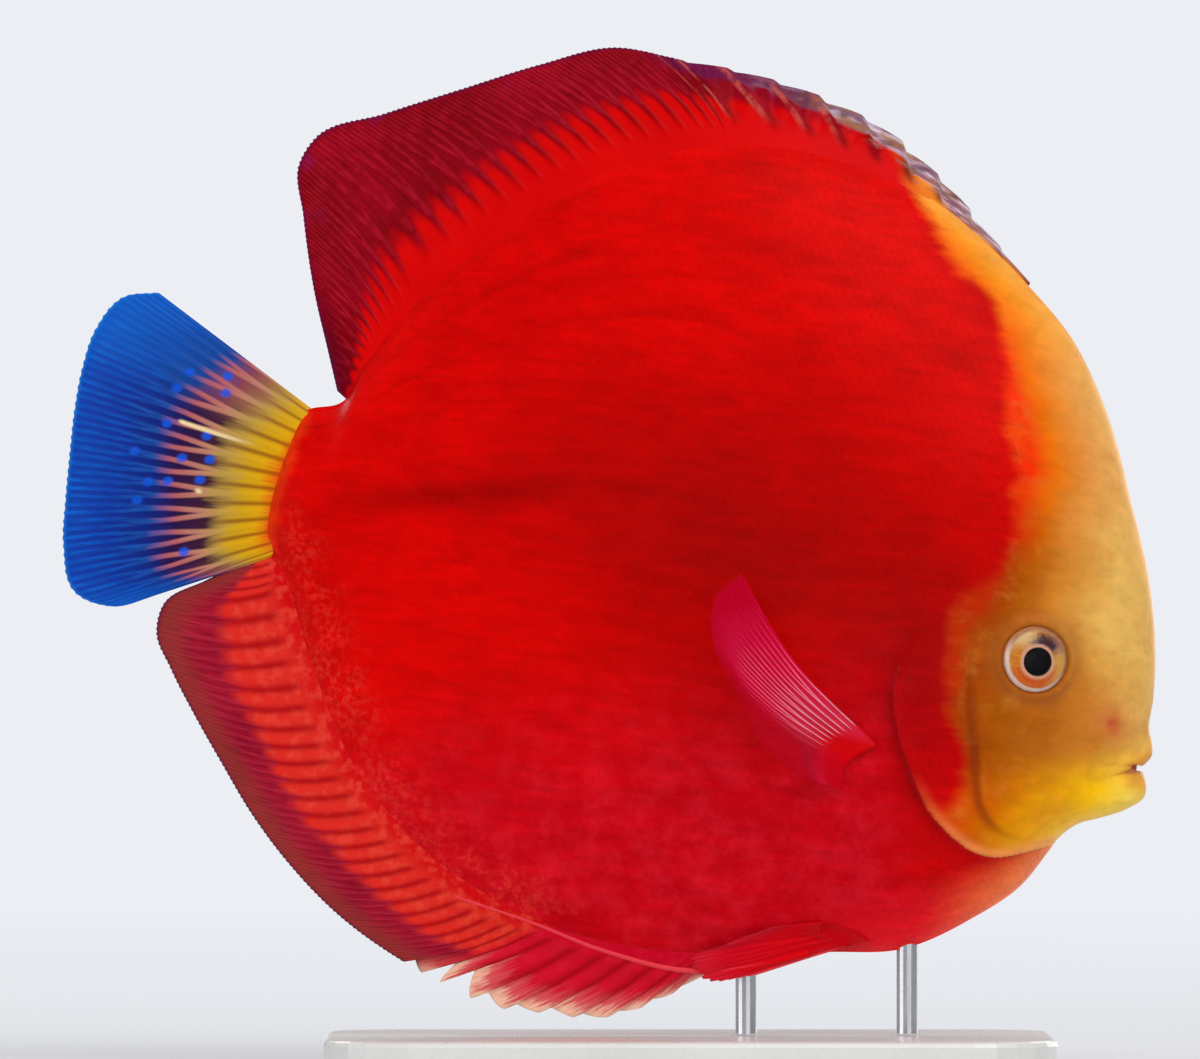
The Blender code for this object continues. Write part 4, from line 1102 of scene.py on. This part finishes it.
def skin_material(groups):
    """The body's reds and the face's golds, which meet along a ragged border."""
    made, n, shader = finish_material("discus_skin", 0.42, Specular_IOR_Level=0.3,
                                      Specular_Tint=(1.0, 0.05, 0.03, 1.0), Coat_Weight=0.02,
                                      Coat_Roughness=0.25)
    place = n.place()
    streak = n.group(groups["streaks"], fineness=520.0, length=0.22)["Value"]
    long_streak = n.group(groups["streaks"], fineness=170.0, length=0.16)["Value"]
    broad = n.noise(place, 45.0, 3.0)
    mottle = n.noise(place, 260.0, 4.0, 0.65)
    scales = n.group(groups["scales"], pitch=1.35)

    # The body: clouded red, with painted shade darkening its middle and about the gill cover's rear edge,
    # and darker along faint arcs
    red = n.mix(n.ramp(broad, 0.35, 0.7), srgb(204, 1, 1), srgb(220, 2, 1))
    # Painted shade in the body's middle and about the gill cover's rear edge, with a dark streak along
    # the tail's side line
    red = n.laid(red, srgb(150, 0, 1), n.times(n.mark("deep"), 0.85, clamp=True))
    arcs = n.noise(n.joined(n.times(n.mark("share"), 7.0), 0.0, broad), 1.6, 2.0)
    arcs = n.times(n.ramp(arcs, 0.52, 0.7), n.ramp(n.mark("share"), 0.05, 0.5))
    red = n.laid(red, srgb(168, 1, 2), arcs, 0.45)
    # The belly: crimson, flecked over the anal fin, with an orange breast and edge that are also
    # lightened as a painted highlight
    crimson = n.mix(n.ramp(mottle, 0.35, 0.75), srgb(196, 2, 22), srgb(213, 22, 42))
    red = n.laid(red, crimson, n.mark("belly"), 0.85)
    fleck = n.times(n.ramp(n.noise(place, 1100.0, 3.0, 0.65), 0.42, 0.62), n.ramp(mottle, 0.35, 0.62))
    zone = n.ramp(n.plus(n.mark("speckle"), n.times(broad, 0.5)), 0.5, 1.25)
    red = n.laid(red, srgb(228, 52, 40), fleck, zone, 0.6)
    # Orange on the breast and along the belly's edge, brightened as a painted highlight
    breast = n.times(n.mark("breast"), n.plus(0.55, n.times(long_streak, 0.7)))
    red = n.laid(red, srgb(255, 122, 56), n.ramp(breast, 0.1, 0.7))
    red = n.laid(red, n.mix(n.mark("throat"), srgb(244, 20, 36), srgb(255, 128, 64)), n.mark("keel"))
    red = n.laid(red, srgb(128, 1, 8), n.mark("shadow"), 0.6)
    tail = n.plus(n.mark("tail"), n.sway(long_streak, 4.0))
    red = n.laid(red, srgb(228, 60, 2), n.ramp(tail, -1.6, 1.6))

    # The face: rows of colours from its border to its profile, for the cheek, forehead, jaw and nape
    way = n.plus(n.mark("front"), n.sway(long_streak, 0.3))
    way = n.plus(way, n.sway(broad, 0.3))
    cheek = n.stops(way, (0.0, srgb(180, 40, 2)), (0.1, srgb(158, 62, 2)), (0.24, srgb(168, 86, 6)),
                    (0.46, srgb(182, 101, 22)), (0.63, srgb(204, 126, 36)), (0.82, srgb(220, 156, 66)),
                    (1.0, srgb(234, 184, 94)))
    forehead = n.stops(way, (0.0, srgb(238, 44, 1)), (0.1, srgb(232, 78, 2)), (0.28, srgb(232, 114, 4)),
                       (0.5, srgb(231, 140, 50)), (0.7, srgb(233, 156, 76)), (1.0, srgb(240, 178, 94)))
    gold = n.stops(way, (0.0, srgb(208, 34, 2)), (0.1, srgb(218, 72, 1)), (0.28, srgb(210, 110, 1)),
                   (0.42, srgb(226, 142, 1)), (0.6, srgb(242, 170, 2)), (0.76, srgb(254, 200, 8)),
                   (1.0, srgb(255, 220, 90)))
    face = n.mix(n.mark("high"), cheek, forehead)
    crown = n.stops(way, (0.0, srgb(240, 56, 1)), (0.3, srgb(244, 104, 2)), (0.7, srgb(247, 144, 20)),
                    (1.0, srgb(247, 158, 52)))
    face = n.laid(face, crown, n.mark("nape"))
    face = n.laid(face, gold, n.mark("jaw"))
    # Small dashes, a painted highlight along the face's edge, the parts of the face that have a colour of
    # their own, and painted shade round the eye socket
    dash = n.ramp(n.group(groups["streaks"], fineness=330.0, length=0.3)["Value"], 0.5, 0.75)
    face = n.laid(face, srgb(190, 98, 30), dash, 0.24)
    # A painted highlight along the face's edge, where the head turns away
    face = n.laid(face, srgb(250, 190, 96), n.mark("painted_edge_highlight"), 0.3)
    face = n.laid(face, srgb(200, 84, 52), n.mark("rosy"), 0.6)
    face = n.laid(face, srgb(216, 122, 38), n.mark("lips"), 0.6)
    face = n.laid(face, srgb(196, 112, 66), n.mark("inside"))
    # Painted shade round the eye socket
    face = n.laid(face, srgb(150, 84, 40), n.mark("socket"), 0.4)
    face = n.laid(face, srgb(240, 170, 70), n.ramp(mottle, 0.5, 0.8), 0.2)

    # The border between them, frayed by the streaks
    spread = n.sway(long_streak, 3.4)
    spread = n.plus(spread, n.sway(broad, 6.0))
    spread = n.plus(spread, n.sway(streak, 2.2))
    border = n.plus(n.mark("face"), spread)
    colour = n.mix(n.ramp(border, -1.2, 1.6), red, face)
    # Painted shade in the cheek's groove
    colour = n.laid(colour, srgb(128, 46, 8), n.mark("groove"), 0.62)
    colour = n.laid(colour, srgb(246, 152, 84), n.mark("rim"), 0.8)

    # Fine streaks over everything, and the scales' rims over the body
    contrast = n.ramp(n.mark("face"), -1.0, 2.0, (0.7, 0.45))
    fine = n.plus(n.sway(streak, contrast), 1.0)
    fine = n.plus(fine, n.sway(scales["Tint"], 0.05))
    body_only = n.ramp(n.mark("face"), 3.0, -2.0)
    fine = n.minus(fine, n.times(scales["Edge"], body_only, 0.1))
    shaded = n.mix(1.0, colour, n.joined(fine, fine, fine), "MULTIPLY")
    n.put(shader.inputs["Base Color"], shaded)

    relief_height = n.plus(n.times(scales["Height"], n.times(body_only, 0.5)), n.times(streak, 0.5))
    normal = n.bump(relief_height, 0.07)
    normal = n.bump(mottle, 0.02, 1.0, normal)
    n.put(shader.inputs["Normal"], normal)
    n.put(shader.inputs["Roughness"], n.ramp(mottle, 0.2, 0.8, (0.36, 0.5)))
    return made


# A red gloss, so that the lights don't turn the reds pale
RED_SHEEN = {"Coat_Roughness": 0.3, "Specular_Tint": (1.0, 0.03, 0.05, 1.0)}


def fin_base(name, groups, roughness, gloss=0.35, **fixed):
    """A fin's material with its relief, its node maker, its shader and how its threads run."""
    made, n, shader = finish_material(name, roughness, Specular_IOR_Level=gloss, **fixed)
    grain = n.group(groups["rays"])
    n.put(shader.inputs["Normal"], n.bump(grain["Height"], 0.045))
    return made, n, shader, grain["Thread"]


def dorsal_material(groups):
    made, n, shader, thread = fin_base("dorsal_fin_skin", groups, 0.4, Coat_Weight=0.03,
                                       **RED_SHEEN)
    ray, stem, rise, left, place = (n.mark(m) for m in ("ray", "stem", "rise", "left", "place"))
    broad = n.noise(n.place(), 70.0, 3.0)
    fine = n.noise(n.place(), 520.0, 3.0)
    # The red inner part, orange at the nape, with a dark line along each ray
    red = n.mix(n.ramp(broad, 0.35, 0.7), srgb(206, 2, 2), srgb(218, 4, 2))
    nape = n.ramp(n.plus(place, n.sway(broad, 2.0)), 4.5, 3.4)
    red = n.laid(red, srgb(244, 150, 40), nape)
    dark_line = n.times(stem, n.ramp(rise, 0.04, 0.3))
    red = n.laid(red, srgb(104, 0, 5), dark_line, 0.8)
    # The wine-coloured outer part, with lighter rays and a violet sheen painted on in clouds
    outer = n.mix(n.ramp(broad, 0.35, 0.65), srgb(150, 2, 26), srgb(126, 1, 12))
    outer = n.laid(outer, srgb(92, 0, 12), n.ramp(thread, 0.4, 0.7), 0.6)
    outer = n.laid(outer, srgb(186, 22, 46), ray, n.ramp(fine, 0.3, 0.7), 0.55)
    painted_violet_sheen = n.times(n.ramp(n.noise(n.place(), 85.0, 2.0), 0.56, 0.68), n.ramp(rise, 0.6, 0.9))
    outer = n.laid(outer, srgb(112, 26, 104), painted_violet_sheen, 0.4)
    # It begins nearer to the body along the rays than between them
    tip = n.minus(rise, n.times(n.minus(1.0, stem), 0.13))
    tip = n.plus(tip, n.sway(broad, 0.22))
    tip = n.plus(tip, n.sway(fine, 0.12))
    tip = n.plus(tip, n.times(n.ramp(place, 15.0, 26.0), 0.13))
    colour = n.mix(n.times(n.ramp(tip, 0.24, 0.42), n.ramp(place, 4.0, 8.0)), red, outer)
    rear = n.times(n.ramp(place, 31.0, 37.0), n.ramp(left, 5.0, 0.6))
    colour = n.laid(colour, srgb(60, 1, 20), rear, 0.6)
    colour = n.laid(colour, srgb(70, 14, 60), n.ramp(left, 0.9, 0.1), 0.6)

    # The pale folded fringe of the front spines, with painted highlights on its folds and painted shade
    # in their creases, and the purple edge behind it
    fold = n.joined(n.plus(n.times(place, 1.1), n.times(rise, 1.6)), n.times(rise, 4.0))
    folds = n.noise(fold, 1.5, 2.5, 0.5)
    pale = n.mix(n.ramp(folds, 0.38, 0.55), srgb(128, 96, 112), srgb(176, 152, 168))
    # Painted highlights on the folds' crests
    pale = n.laid(pale, srgb(222, 208, 216), n.ramp(folds, 0.52, 0.68))
    tan = n.times(n.ramp(n.noise(fold, 0.8, 2.0), 0.45, 0.62), 0.8)
    pale = n.laid(pale, srgb(158, 112, 66), tan)
    # Painted shade in the folds' creases
    painted_fold_shade = n.ramp(n.math("ABSOLUTE", n.minus(folds, 0.46)), 0.035, 0.0)
    pale = n.laid(pale, srgb(84, 52, 70), painted_fold_shade, 0.45)
    reach = n.plus(left, n.sway(folds, 5.0))
    mist = n.times(n.ramp(reach, 3.9, 2.3), n.ramp(place, 8.6, 6.4))
    mist = n.times(mist, n.ramp(n.mark("height"), 0.2, 0.9))
    colour = n.laid(colour, pale, mist)
    purple = n.times(n.ramp(reach, 4.5, 2.0), n.times(n.ramp(place, 5.4, 6.8), n.ramp(place, 11.5, 9.0)))
    colour = n.laid(colour, srgb(92, 22, 74), purple, 0.8)
    # Pale red streaks where the fringe ends
    slope = n.math("ABSOLUTE", n.minus(n.math("FRACT", n.plus(place, 0.35)), 0.5))
    streaks = n.times(n.ramp(n.math("ABSOLUTE", n.minus(place, 8.0)), 2.6, 1.6),
                      n.times(n.ramp(slope, 0.16, 0.04), n.ramp(rise, 0.1, 0.45)))
    colour = n.laid(colour, srgb(214, 96, 84), streaks, 0.7, n.ramp(fine, 0.3, 0.62))
    n.put(shader.inputs["Base Color"], colour)
    return made


def anal_material(groups):
    made, n, shader, thread = fin_base("anal_fin_skin", groups, 0.42, Coat_Weight=0.03,
                                       **RED_SHEEN)
    ray, stem, rise, left, spiny = (n.mark(m) for m in ("ray", "stem", "rise", "left", "spiny"))
    broad = n.noise(n.place(), 80.0, 3.0)
    fine = n.noise(n.place(), 620.0, 3.0)
    # The flecked red inner part, with a dark line along each ray
    red = n.mix(n.ramp(n.plus(rise, n.times(broad, 0.12)), 0.02, 0.2), srgb(206, 3, 14),
                srgb(222, 44, 34))
    red = n.laid(red, srgb(232, 72, 54), n.ramp(fine, 0.45, 0.65), 0.6)
    red = n.laid(red, srgb(210, 4, 46), spiny, 0.85)
    dark_line = n.times(stem, n.ramp(rise, 0.02, 0.16))
    red = n.laid(red, srgb(168, 4, 14), dark_line, 0.85)
    # The darker outer part, which the spiny lobes hardly have
    outer = n.mix(n.ramp(broad, 0.35, 0.65), srgb(160, 20, 46), srgb(142, 10, 40))
    outer = n.laid(outer, srgb(182, 44, 62), ray, n.plus(0.25, n.times(fine, 0.5)))
    outer = n.laid(outer, srgb(104, 4, 30), n.ramp(thread, 0.42, 0.66), 0.55)
    outer = n.laid(outer, srgb(128, 62, 46), n.ramp(left, 6.0, 1.5), 0.5)
    tip = n.minus(rise, n.times(n.minus(1.0, stem), 0.06))
    tip = n.plus(tip, n.sway(broad, 0.2))
    tip = n.plus(tip, n.sway(fine, 0.1))
    outer_share = n.times(n.ramp(tip, 0.4, 0.56), n.minus(1.0, n.times(spiny, 0.9)))
    colour = n.mix(outer_share, red, outer)
    colour = n.laid(colour, srgb(48, 30, 62), n.ramp(left, 0.7, 0.1), 0.6)
    # The spiny lobes end in cream wisps
    wisps = n.plus(left, n.sway(thread, 8.0))
    tips = n.times(spiny, n.ramp(wisps, 7.5, 2.5))
    cream = n.mix(n.ramp(n.plus(wisps, n.times(fine, 2.0)), 4.2, 1.4), srgb(214, 88, 92),
                  srgb(240, 198, 170))
    colour = n.laid(colour, cream, tips, 0.9)
    n.put(shader.inputs["Base Color"], colour)
    return made


def tail_material(groups):
    made, n, shader, thread = fin_base("caudal_fin_skin", groups, 0.36, 0.2, Coat_Weight=0.04,
                                       Coat_Roughness=0.3, Specular_Tint=(0.35, 0.25, 0.3, 1.0))
    ray, rise, place = (n.mark(m) for m in ("ray", "rise", "place"))
    broad = n.noise(n.place(), 110.0, 3.0)
    rim = n.math("ABSOLUTE", n.minus(place, TAIL_MIDDLE_RAY))
    # Rows of colours from the fin's foot to its edge, for its rays, its web and its outer rays' web
    way = n.plus(rise, n.sway(broad, 0.16))
    way = n.plus(way, n.times(n.ramp(rim, 2.5, 6.5), 0.12))
    way = n.plus(way, n.sway(thread, 0.12))
    bone = n.stops(way, (0.0, srgb(224, 44, 2)), (0.05, srgb(226, 108, 3)), (0.11, srgb(222, 164, 5)),
                   (0.19, srgb(206, 160, 22)), (0.27, srgb(186, 150, 70)), (0.37, srgb(186, 126, 104)),
                   (0.5, srgb(180, 92, 98)), (0.62, srgb(26, 78, 160)), (0.8, srgb(0, 80, 184)),
                   (1.0, srgb(4, 98, 202)))
    web = n.stops(way, (0.0, srgb(218, 40, 2)), (0.06, srgb(204, 96, 2)), (0.14, srgb(176, 118, 10)),
                  (0.26, srgb(140, 112, 50)), (0.34, srgb(60, 22, 44)), (0.5, srgb(34, 10, 66)),
                  (0.6, srgb(2, 30, 114)), (0.78, srgb(0, 46, 150)), (1.0, srgb(0, 64, 172)))
    side = n.stops(way, (0.0, srgb(218, 60, 2)), (0.1, srgb(204, 132, 10)), (0.3, srgb(170, 120, 70)),
                   (0.44, srgb(150, 70, 84)), (0.56, srgb(10, 70, 150)), (1.0, srgb(2, 92, 196)))
    web = n.laid(web, side, n.ramp(rim, 3.2, 5.0), 0.8)
    # Near the foot the rays touch, with a seam between them. Further out they are patchy
    line = n.ramp(ray, 0.12, 0.75)
    near_foot = n.ramp(way, 0.34, 0.2)
    full = n.minus(1.0, n.times(n.mark("seam"), 0.75))
    line = n.plus(n.times(line, n.minus(1.0, near_foot)), n.times(full, near_foot))
    patchy = n.times(n.ramp(thread, 0.62, 0.42), n.ramp(way, 0.5, 0.7))
    line = n.times(line, n.minus(1.0, n.times(patchy, 0.6)))
    colour = n.mix(line, web, bone)
    colour = n.laid(colour, srgb(120, 52, 6), n.mark("seam"), near_foot, 0.5)
    colour = n.laid(colour, srgb(6, 84, 214), n.ramp(n.mark("spot"), 0.2, 0.75), 0.85)
    # The painted highlight along one ray
    colour = n.laid(colour, srgb(240, 214, 160), n.ramp(n.mark("light"), 0.1, 1.0))
    colour = n.laid(colour, srgb(20, 130, 220), n.ramp(n.mark("left"), 0.6, 0.1), 0.5)
    n.put(shader.inputs["Base Color"], colour)
    # Its outer web lets a little light through
    clear = n.times(n.ramp(way, 0.5, 0.85), n.minus(1.0, n.times(line, 0.7)))
    n.put(shader.inputs["Alpha"], n.minus(1.0, n.times(clear, 0.06)))
    return made


def pectoral_material(groups):
    made, n, shader, thread = fin_base("pectoral_fin_skin", groups, 0.4, 0.12, Coat_Weight=0.01,
                                       **RED_SHEEN)
    ray, out, height, place = (n.mark(m) for m in ("ray", "out", "height", "place"))
    # Rows of colours from the fin's root to its edge, for its rays and its web
    start = n.plus(out, n.ramp(place, 5.0, 0.0, (0.0, 0.12)))
    bone = n.stops(start, (0.0, srgb(214, 6, 4)), (0.12, srgb(216, 20, 20)), (0.18, srgb(250, 172, 176)),
                   (0.45, srgb(250, 130, 156)), (0.8, srgb(232, 34, 88)), (1.0, srgb(222, 6, 60)))
    web = n.stops(start, (0.0, srgb(214, 4, 2)), (0.12, srgb(214, 10, 14)), (0.28, srgb(224, 46, 80)),
                  (0.6, srgb(226, 8, 62)), (1.0, srgb(214, 2, 40)))
    trailing = n.ramp(place, 5.5, 9.5)
    line = n.times(n.ramp(ray, 0.3, 0.9), n.minus(1.0, n.times(trailing, 0.75)))
    colour = n.mix(line, web, bone)
    colour = n.laid(colour, srgb(196, 3, 44), n.ramp(thread, 0.45, 0.7), 0.3)
    colour = n.laid(colour, srgb(196, 4, 30), trailing, 0.7)
    n.put(shader.inputs["Base Color"], colour)
    # The web lets some light through, and far more in the fin's rear part
    thin = n.times(n.ramp(height, 3.0, 8.0), n.plus(0.12, n.times(trailing, 0.7)))
    thin = n.times(thin, n.minus(1.0, n.times(line, 0.7)))
    thin = n.plus(thin, n.times(n.ramp(out, 0.75, 1.0), 0.25), clamp=True)
    n.put(shader.inputs["Alpha"], n.minus(1.0, thin))
    return made


def pelvic_material(groups):
    made, n, shader, thread = fin_base("pelvic_fin_skin", groups, 0.38, Coat_Weight=0.03,
                                       **RED_SHEEN)
    out, ray, place = n.mark("out"), n.mark("ray"), n.mark("place")
    colour = n.stops(out, (0.0, srgb(200, 2, 16)), (0.45, srgb(204, 3, 18)), (0.8, srgb(206, 8, 32)),
                     (1.0, srgb(210, 34, 56)))
    colour = n.laid(colour, srgb(230, 10, 16), n.ramp(ray, 0.2, 0.8), 0.4)
    colour = n.laid(colour, srgb(170, 2, 20), n.ramp(thread, 0.45, 0.7), 0.3)
    rim = n.times(n.ramp(place, 0.7, 0.1), n.ramp(out, 0.15, 0.4))
    colour = n.laid(colour, srgb(236, 76, 88), rim, 0.7)
    n.put(shader.inputs["Base Color"], colour)
    return made


def iris_material():
    """A golden iris with a dark patch above the pupil, and a pale rim, whitest along its lower and rear
    side as a painted reflection.
    """
    made, n, shader = finish_material("eye_iris", 0.32, Specular_IOR_Level=0.08, Coat_Roughness=0.1)
    ring, pupil, turn = n.mark("ring"), n.mark("pupil"), n.mark("turn")
    up, fore = n.mark("upness"), n.mark("fore")
    fibres = n.noise(n.joined(n.times(n.math("SINE", turn), 9.0), n.times(n.math("COSINE", turn), 9.0),
                              n.times(ring, 0.5)), 2.4, 4.0, 0.6)
    wobble = n.sway(n.noise(n.place(), 700.0, 2.0), 0.5)
    up, fore = n.plus(up, wobble), n.minus(fore, wobble)
    pupil_soft = n.plus(pupil, n.times(wobble, 0.6))
    ring = n.plus(ring, n.times(wobble, 0.5))
    warm = n.mix(n.ramp(fibres, 0.35, 0.7), srgb(196, 106, 10), srgb(230, 152, 36))
    warm = n.laid(warm, srgb(218, 96, 20), n.ramp(up, 0.0, -0.6), 0.8)
    warm = n.laid(warm, srgb(216, 168, 84), n.ramp(fore, 0.1, 0.7), 0.8)
    high = n.times(n.ramp(up, 0.1, 0.7), n.ramp(fore, 0.3, -0.4))
    warm = n.laid(warm, srgb(222, 190, 134), high, 0.9)
    patch = n.plus(n.math("POWER", n.times(n.minus(fore, 0.2), 2.9), 2.0),
                   n.math("POWER", n.times(n.minus(up, 0.44), 3.6), 2.0))
    warm = n.laid(warm, srgb(38, 12, 44), n.ramp(patch, 2.1, 0.2), 0.95)
    lilac = n.times(n.ramp(fore, 0.25, 0.7), n.ramp(up, -0.1, 0.45))
    warm = n.laid(warm, srgb(132, 88, 112), lilac, 0.7)
    pale = n.mix(n.ramp(fibres, 0.35, 0.7), srgb(226, 170, 140), srgb(218, 146, 104))
    ember = n.times(n.ramp(up, -0.1, -0.4),
                    n.ramp(n.math("ABSOLUTE", n.minus(pupil_soft, 2.9)), 0.5, 0.1))
    warm = n.laid(warm, srgb(222, 66, 18), ember, 0.5)
    colour = n.mix(n.ramp(pupil_soft, 2.75, 2.25), warm, pale)
    # The pale rim, whitened along its lower and rear side as a painted reflection
    white = n.ramp(n.plus(up, n.times(fore, 0.7)), 0.35, -0.7)
    rim = n.mix(white, srgb(176, 118, 76), srgb(244, 226, 214))
    rim = n.laid(rim, srgb(204, 164, 150), n.ramp(fibres, 0.4, 0.65), 0.3)
    colour = n.laid(colour, rim, n.ramp(ring, 3.9, 4.3))
    colour = n.laid(colour, srgb(196, 132, 80), n.ramp(ring, 4.42, 4.75))
    colour = n.laid(colour, srgb(4, 3, 5), n.ramp(pupil, 2.12, 1.98))
    n.put(shader.inputs["Base Color"], colour)
    n.put(shader.inputs["Coat Weight"], n.ramp(pupil, 2.0, 2.3, (0.0, 0.25)))
    n.put(shader.inputs["Normal"], n.bump(fibres, 0.05))
    return made


def cornea_material():
    made, n, shader = finish_material("eye_cornea", 0.04, Transmission_Weight=1.0, IOR=1.12,
                                      Specular_IOR_Level=0.5)
    shader.inputs["Base Color"].default_value = (1.0, 1.0, 1.0, 1.0)
    n.put(shader.inputs["Roughness"], n.ramp(n.noise(n.place(), 900.0, 2.0), 0.3, 0.7, (0.03, 0.07)))
    return made


def acrylic_material():
    made, n, shader = finish_material("stand_satin_acrylic", 0.3, Specular_IOR_Level=0.5, Coat_Weight=0.2,
                                      Coat_Roughness=0.2)
    cloud = n.noise(n.place(), 26.0, 3.0)
    grain = n.noise(n.place(), 1400.0, 2.0)
    n.put(shader.inputs["Base Color"],
          n.mix(n.ramp(cloud, 0.3, 0.7), srgb(214, 214, 210), srgb(222, 222, 219)))
    n.put(shader.inputs["Roughness"], n.ramp(grain, 0.3, 0.7, (0.26, 0.38)))
    n.put(shader.inputs["Normal"], n.bump(grain, 0.012))
    return made


def steel_material():
    made, n, shader = finish_material("stand_brushed_steel", 0.28, Metallic=1.0)
    grain = n.noise(n.stretched(n.place(), (1.0, 1.0, 0.04)), 2600.0, 3.0)
    n.put(shader.inputs["Base Color"], n.mix(grain, srgb(176, 178, 182), srgb(206, 207, 210)))
    n.put(shader.inputs["Roughness"], n.ramp(grain, 0.3, 0.7, (0.2, 0.36)))
    n.put(shader.inputs["Normal"], n.bump(grain, 0.01))
    return made


# Floor, light and camera

FLOOR_REACH = 12000.0
FLOOR_POINTS = 9
FLOOR_FADE = (0.14, 1.3)  # metres from the model's origin where the floor begins to glow, and glows fully
BACKGROUND = (0.93, 0.95, 1.0, 1.0)
BACKGROUND_GLOW = 0.9
WORLD_LIGHT = 0.34
WARM, COOL, WHITE = (1.0, 0.985, 0.96), (0.97, 0.985, 1.0), (1.0, 1.0, 1.0)
# Where each light stands, its width and height, both in millimetres, its watts and its colour
LIGHTS = {
    "key": ((420.0, -900.0, 800.0), (800.0, 600.0), 6.9, WARM),
    "side": ((-1150.0, -620.0, 300.0), (700.0, 900.0), 5.6, COOL),
    "front": ((160.0, -1400.0, 40.0), (900.0, 500.0), 4.0, WHITE),
    "back": ((-500.0, 800.0, 800.0), (900.0, 700.0), 5.0, WHITE),
    "far_side": ((600.0, 1100.0, 300.0), (800.0, 800.0), 5.0, WHITE),
    "top": ((100.0, 150.0, 1100.0), (900.0, 900.0), 4.5, WHITE),
}


def make_stage():
    made, n, shader = finish_material("pale_floor", 0.6, Specular_IOR_Level=0.0)
    cloud = n.noise(n.place(), 3.0, 3.0)
    near = n.mix(cloud, srgb(206, 208, 211), srgb(213, 215, 218))
    # Far from the fish the floor glows as the background does, so that no horizon shows
    reach = n.add("VectorMath", operation="LENGTH")
    n.put(reach.inputs[0], n.place())
    away = n.ramp(reach.outputs["Value"], *FLOOR_FADE)
    seen_directly = n.add("LightPath").outputs["Is Camera Ray"]
    n.put(shader.inputs["Base Color"], n.mix(away, near, srgb(0, 0, 0)))
    shader.inputs["Emission Color"].default_value = BACKGROUND
    n.put(shader.inputs["Emission Strength"], n.times(away, seen_directly, BACKGROUND_GLOW))
    steps = np.linspace(-FLOOR_REACH, FLOOR_REACH, FLOOR_POINTS)
    points = [(x, y, 0.0) for y in steps for x in steps]
    mesh = bpy.data.meshes.new("floor")
    mesh.from_pydata((np.array(points) * MM).tolist(), [], grid_faces(len(steps), len(steps)))
    mesh.materials.append(made)
    floor = bpy.data.objects.new("floor", mesh)
    bpy.context.scene.collection.objects.link(floor)


def make_light():
    aim = Vector((VIEW_CENTRE[0], 0.0, VIEW_CENTRE[1]))
    for name, (place, size, power, colour) in LIGHTS.items():
        light = bpy.data.lights.new(name, "AREA")
        light.shape = "RECTANGLE"
        light.size, light.size_y = size[0] * MM, size[1] * MM
        light.energy = power
        light.color = colour
        obj = bpy.data.objects.new(name, light)
        obj.location = Vector(place) * MM
        obj.rotation_euler = (aim - Vector(place)).to_track_quat("-Z", "Y").to_euler()
        bpy.context.scene.collection.objects.link(obj)
    world = bpy.data.worlds.new("studio")
    world.use_nodes = True
    nodes = Nodes(world.node_tree)
    background = world.node_tree.nodes["Background"]
    background.inputs["Color"].default_value = BACKGROUND
    seen_directly = nodes.add("LightPath").outputs["Is Camera Ray"]
    more = nodes.times(seen_directly, BACKGROUND_GLOW - WORLD_LIGHT)
    nodes.put(background.inputs["Strength"], nodes.plus(more, WORLD_LIGHT))
    bpy.context.scene.world = world


def make_camera():
    camera = bpy.data.cameras.new("camera")
    camera.sensor_width = SENSOR_WIDTH
    camera.lens = SENSOR_WIDTH * CAMERA_DISTANCE / VIEW_WIDTH
    camera.clip_start, camera.clip_end = 0.05, 20.0
    obj = bpy.data.objects.new("camera", camera)
    obj.location = Vector((VIEW_CENTRE[0], -CAMERA_DISTANCE, VIEW_CENTRE[1])) * MM
    obj.rotation_euler = (math.pi / 2, 0.0, 0.0)
    bpy.context.scene.collection.objects.link(obj)
    bpy.context.scene.camera = obj


def make_fish():
    groups = {"scales": scale_group(), "streaks": streak_group(), "rays": ray_group()}
    flank = Flank(make_skin(skin_material(groups)))
    edge_fin("dorsal_fin", back_line, 1, DORSAL_RAYS, DORSAL_PARTS, dorsal_material(groups),
             ("dorsal_fin_spines", "dorsal_fin_rays"), DORSAL_CUTS, (-0.05, -0.06), dorsal_wave)
    edge_fin("anal_fin", belly_line, -1, ANAL_RAYS, ANAL_PARTS, anal_material(groups),
             ("anal_fin_spines", "anal_fin_rays"), ANAL_CUTS, (0.03, 0.1), anal_wave)
    make_tail_fin(tail_material(groups))
    iris, cornea = iris_material(), cornea_material()
    pectoral, pelvic = pectoral_material(groups), pelvic_material(groups)
    plain = Flank(BVHTree.FromPolygons(*plain_body()))
    for side, word in ((-1, "right"), (1, "left")):
        fin = "pectoral_fin_" + word
        paired_fin(fin + "_membrane", fin, flank, side, pectoral, **PECTORAL)
        fin = "pelvic_fin_" + word
        paired_fin(fin + "_fan", fin, flank, side, pelvic, **PELVIC)
        make_filament(fin + "_filament", flank, side, pelvic)
        centre = plain.at(EYE_AT, side, -EYE_SUNK)
        facing = Vector(plain.at(EYE_AT, side, 1.0) - centre).normalized()
        eye_pieces(word, centre, facing, iris, cornea)


def plain_body():
    """The body without its relief, coarsely, to set the eyes by."""
    at, turn = np.linspace(0, LAST_RING, 160), ring_turns()[::4]
    half = len(turn) // 2
    turn = np.concatenate([turn[:half], turn[:half] + math.pi])
    points = body_surface(at, turn)
    return points.reshape(-1, 3).tolist(), grid_faces(len(at), len(turn), round_trip=True)


def dress_stand():
    acrylic, steel = acrylic_material(), steel_material()
    for name, finish in (("stand_base", acrylic), ("stand_rod_front", steel), ("stand_rod_rear", steel)):
        node = frame["nodes"][name]
        node.data.materials.clear()
        node.data.materials.append(finish)


make_fish()
dress_stand()
make_stage()
make_light()
make_camera()
bpy.context.scene.view_settings.view_transform = "Standard"
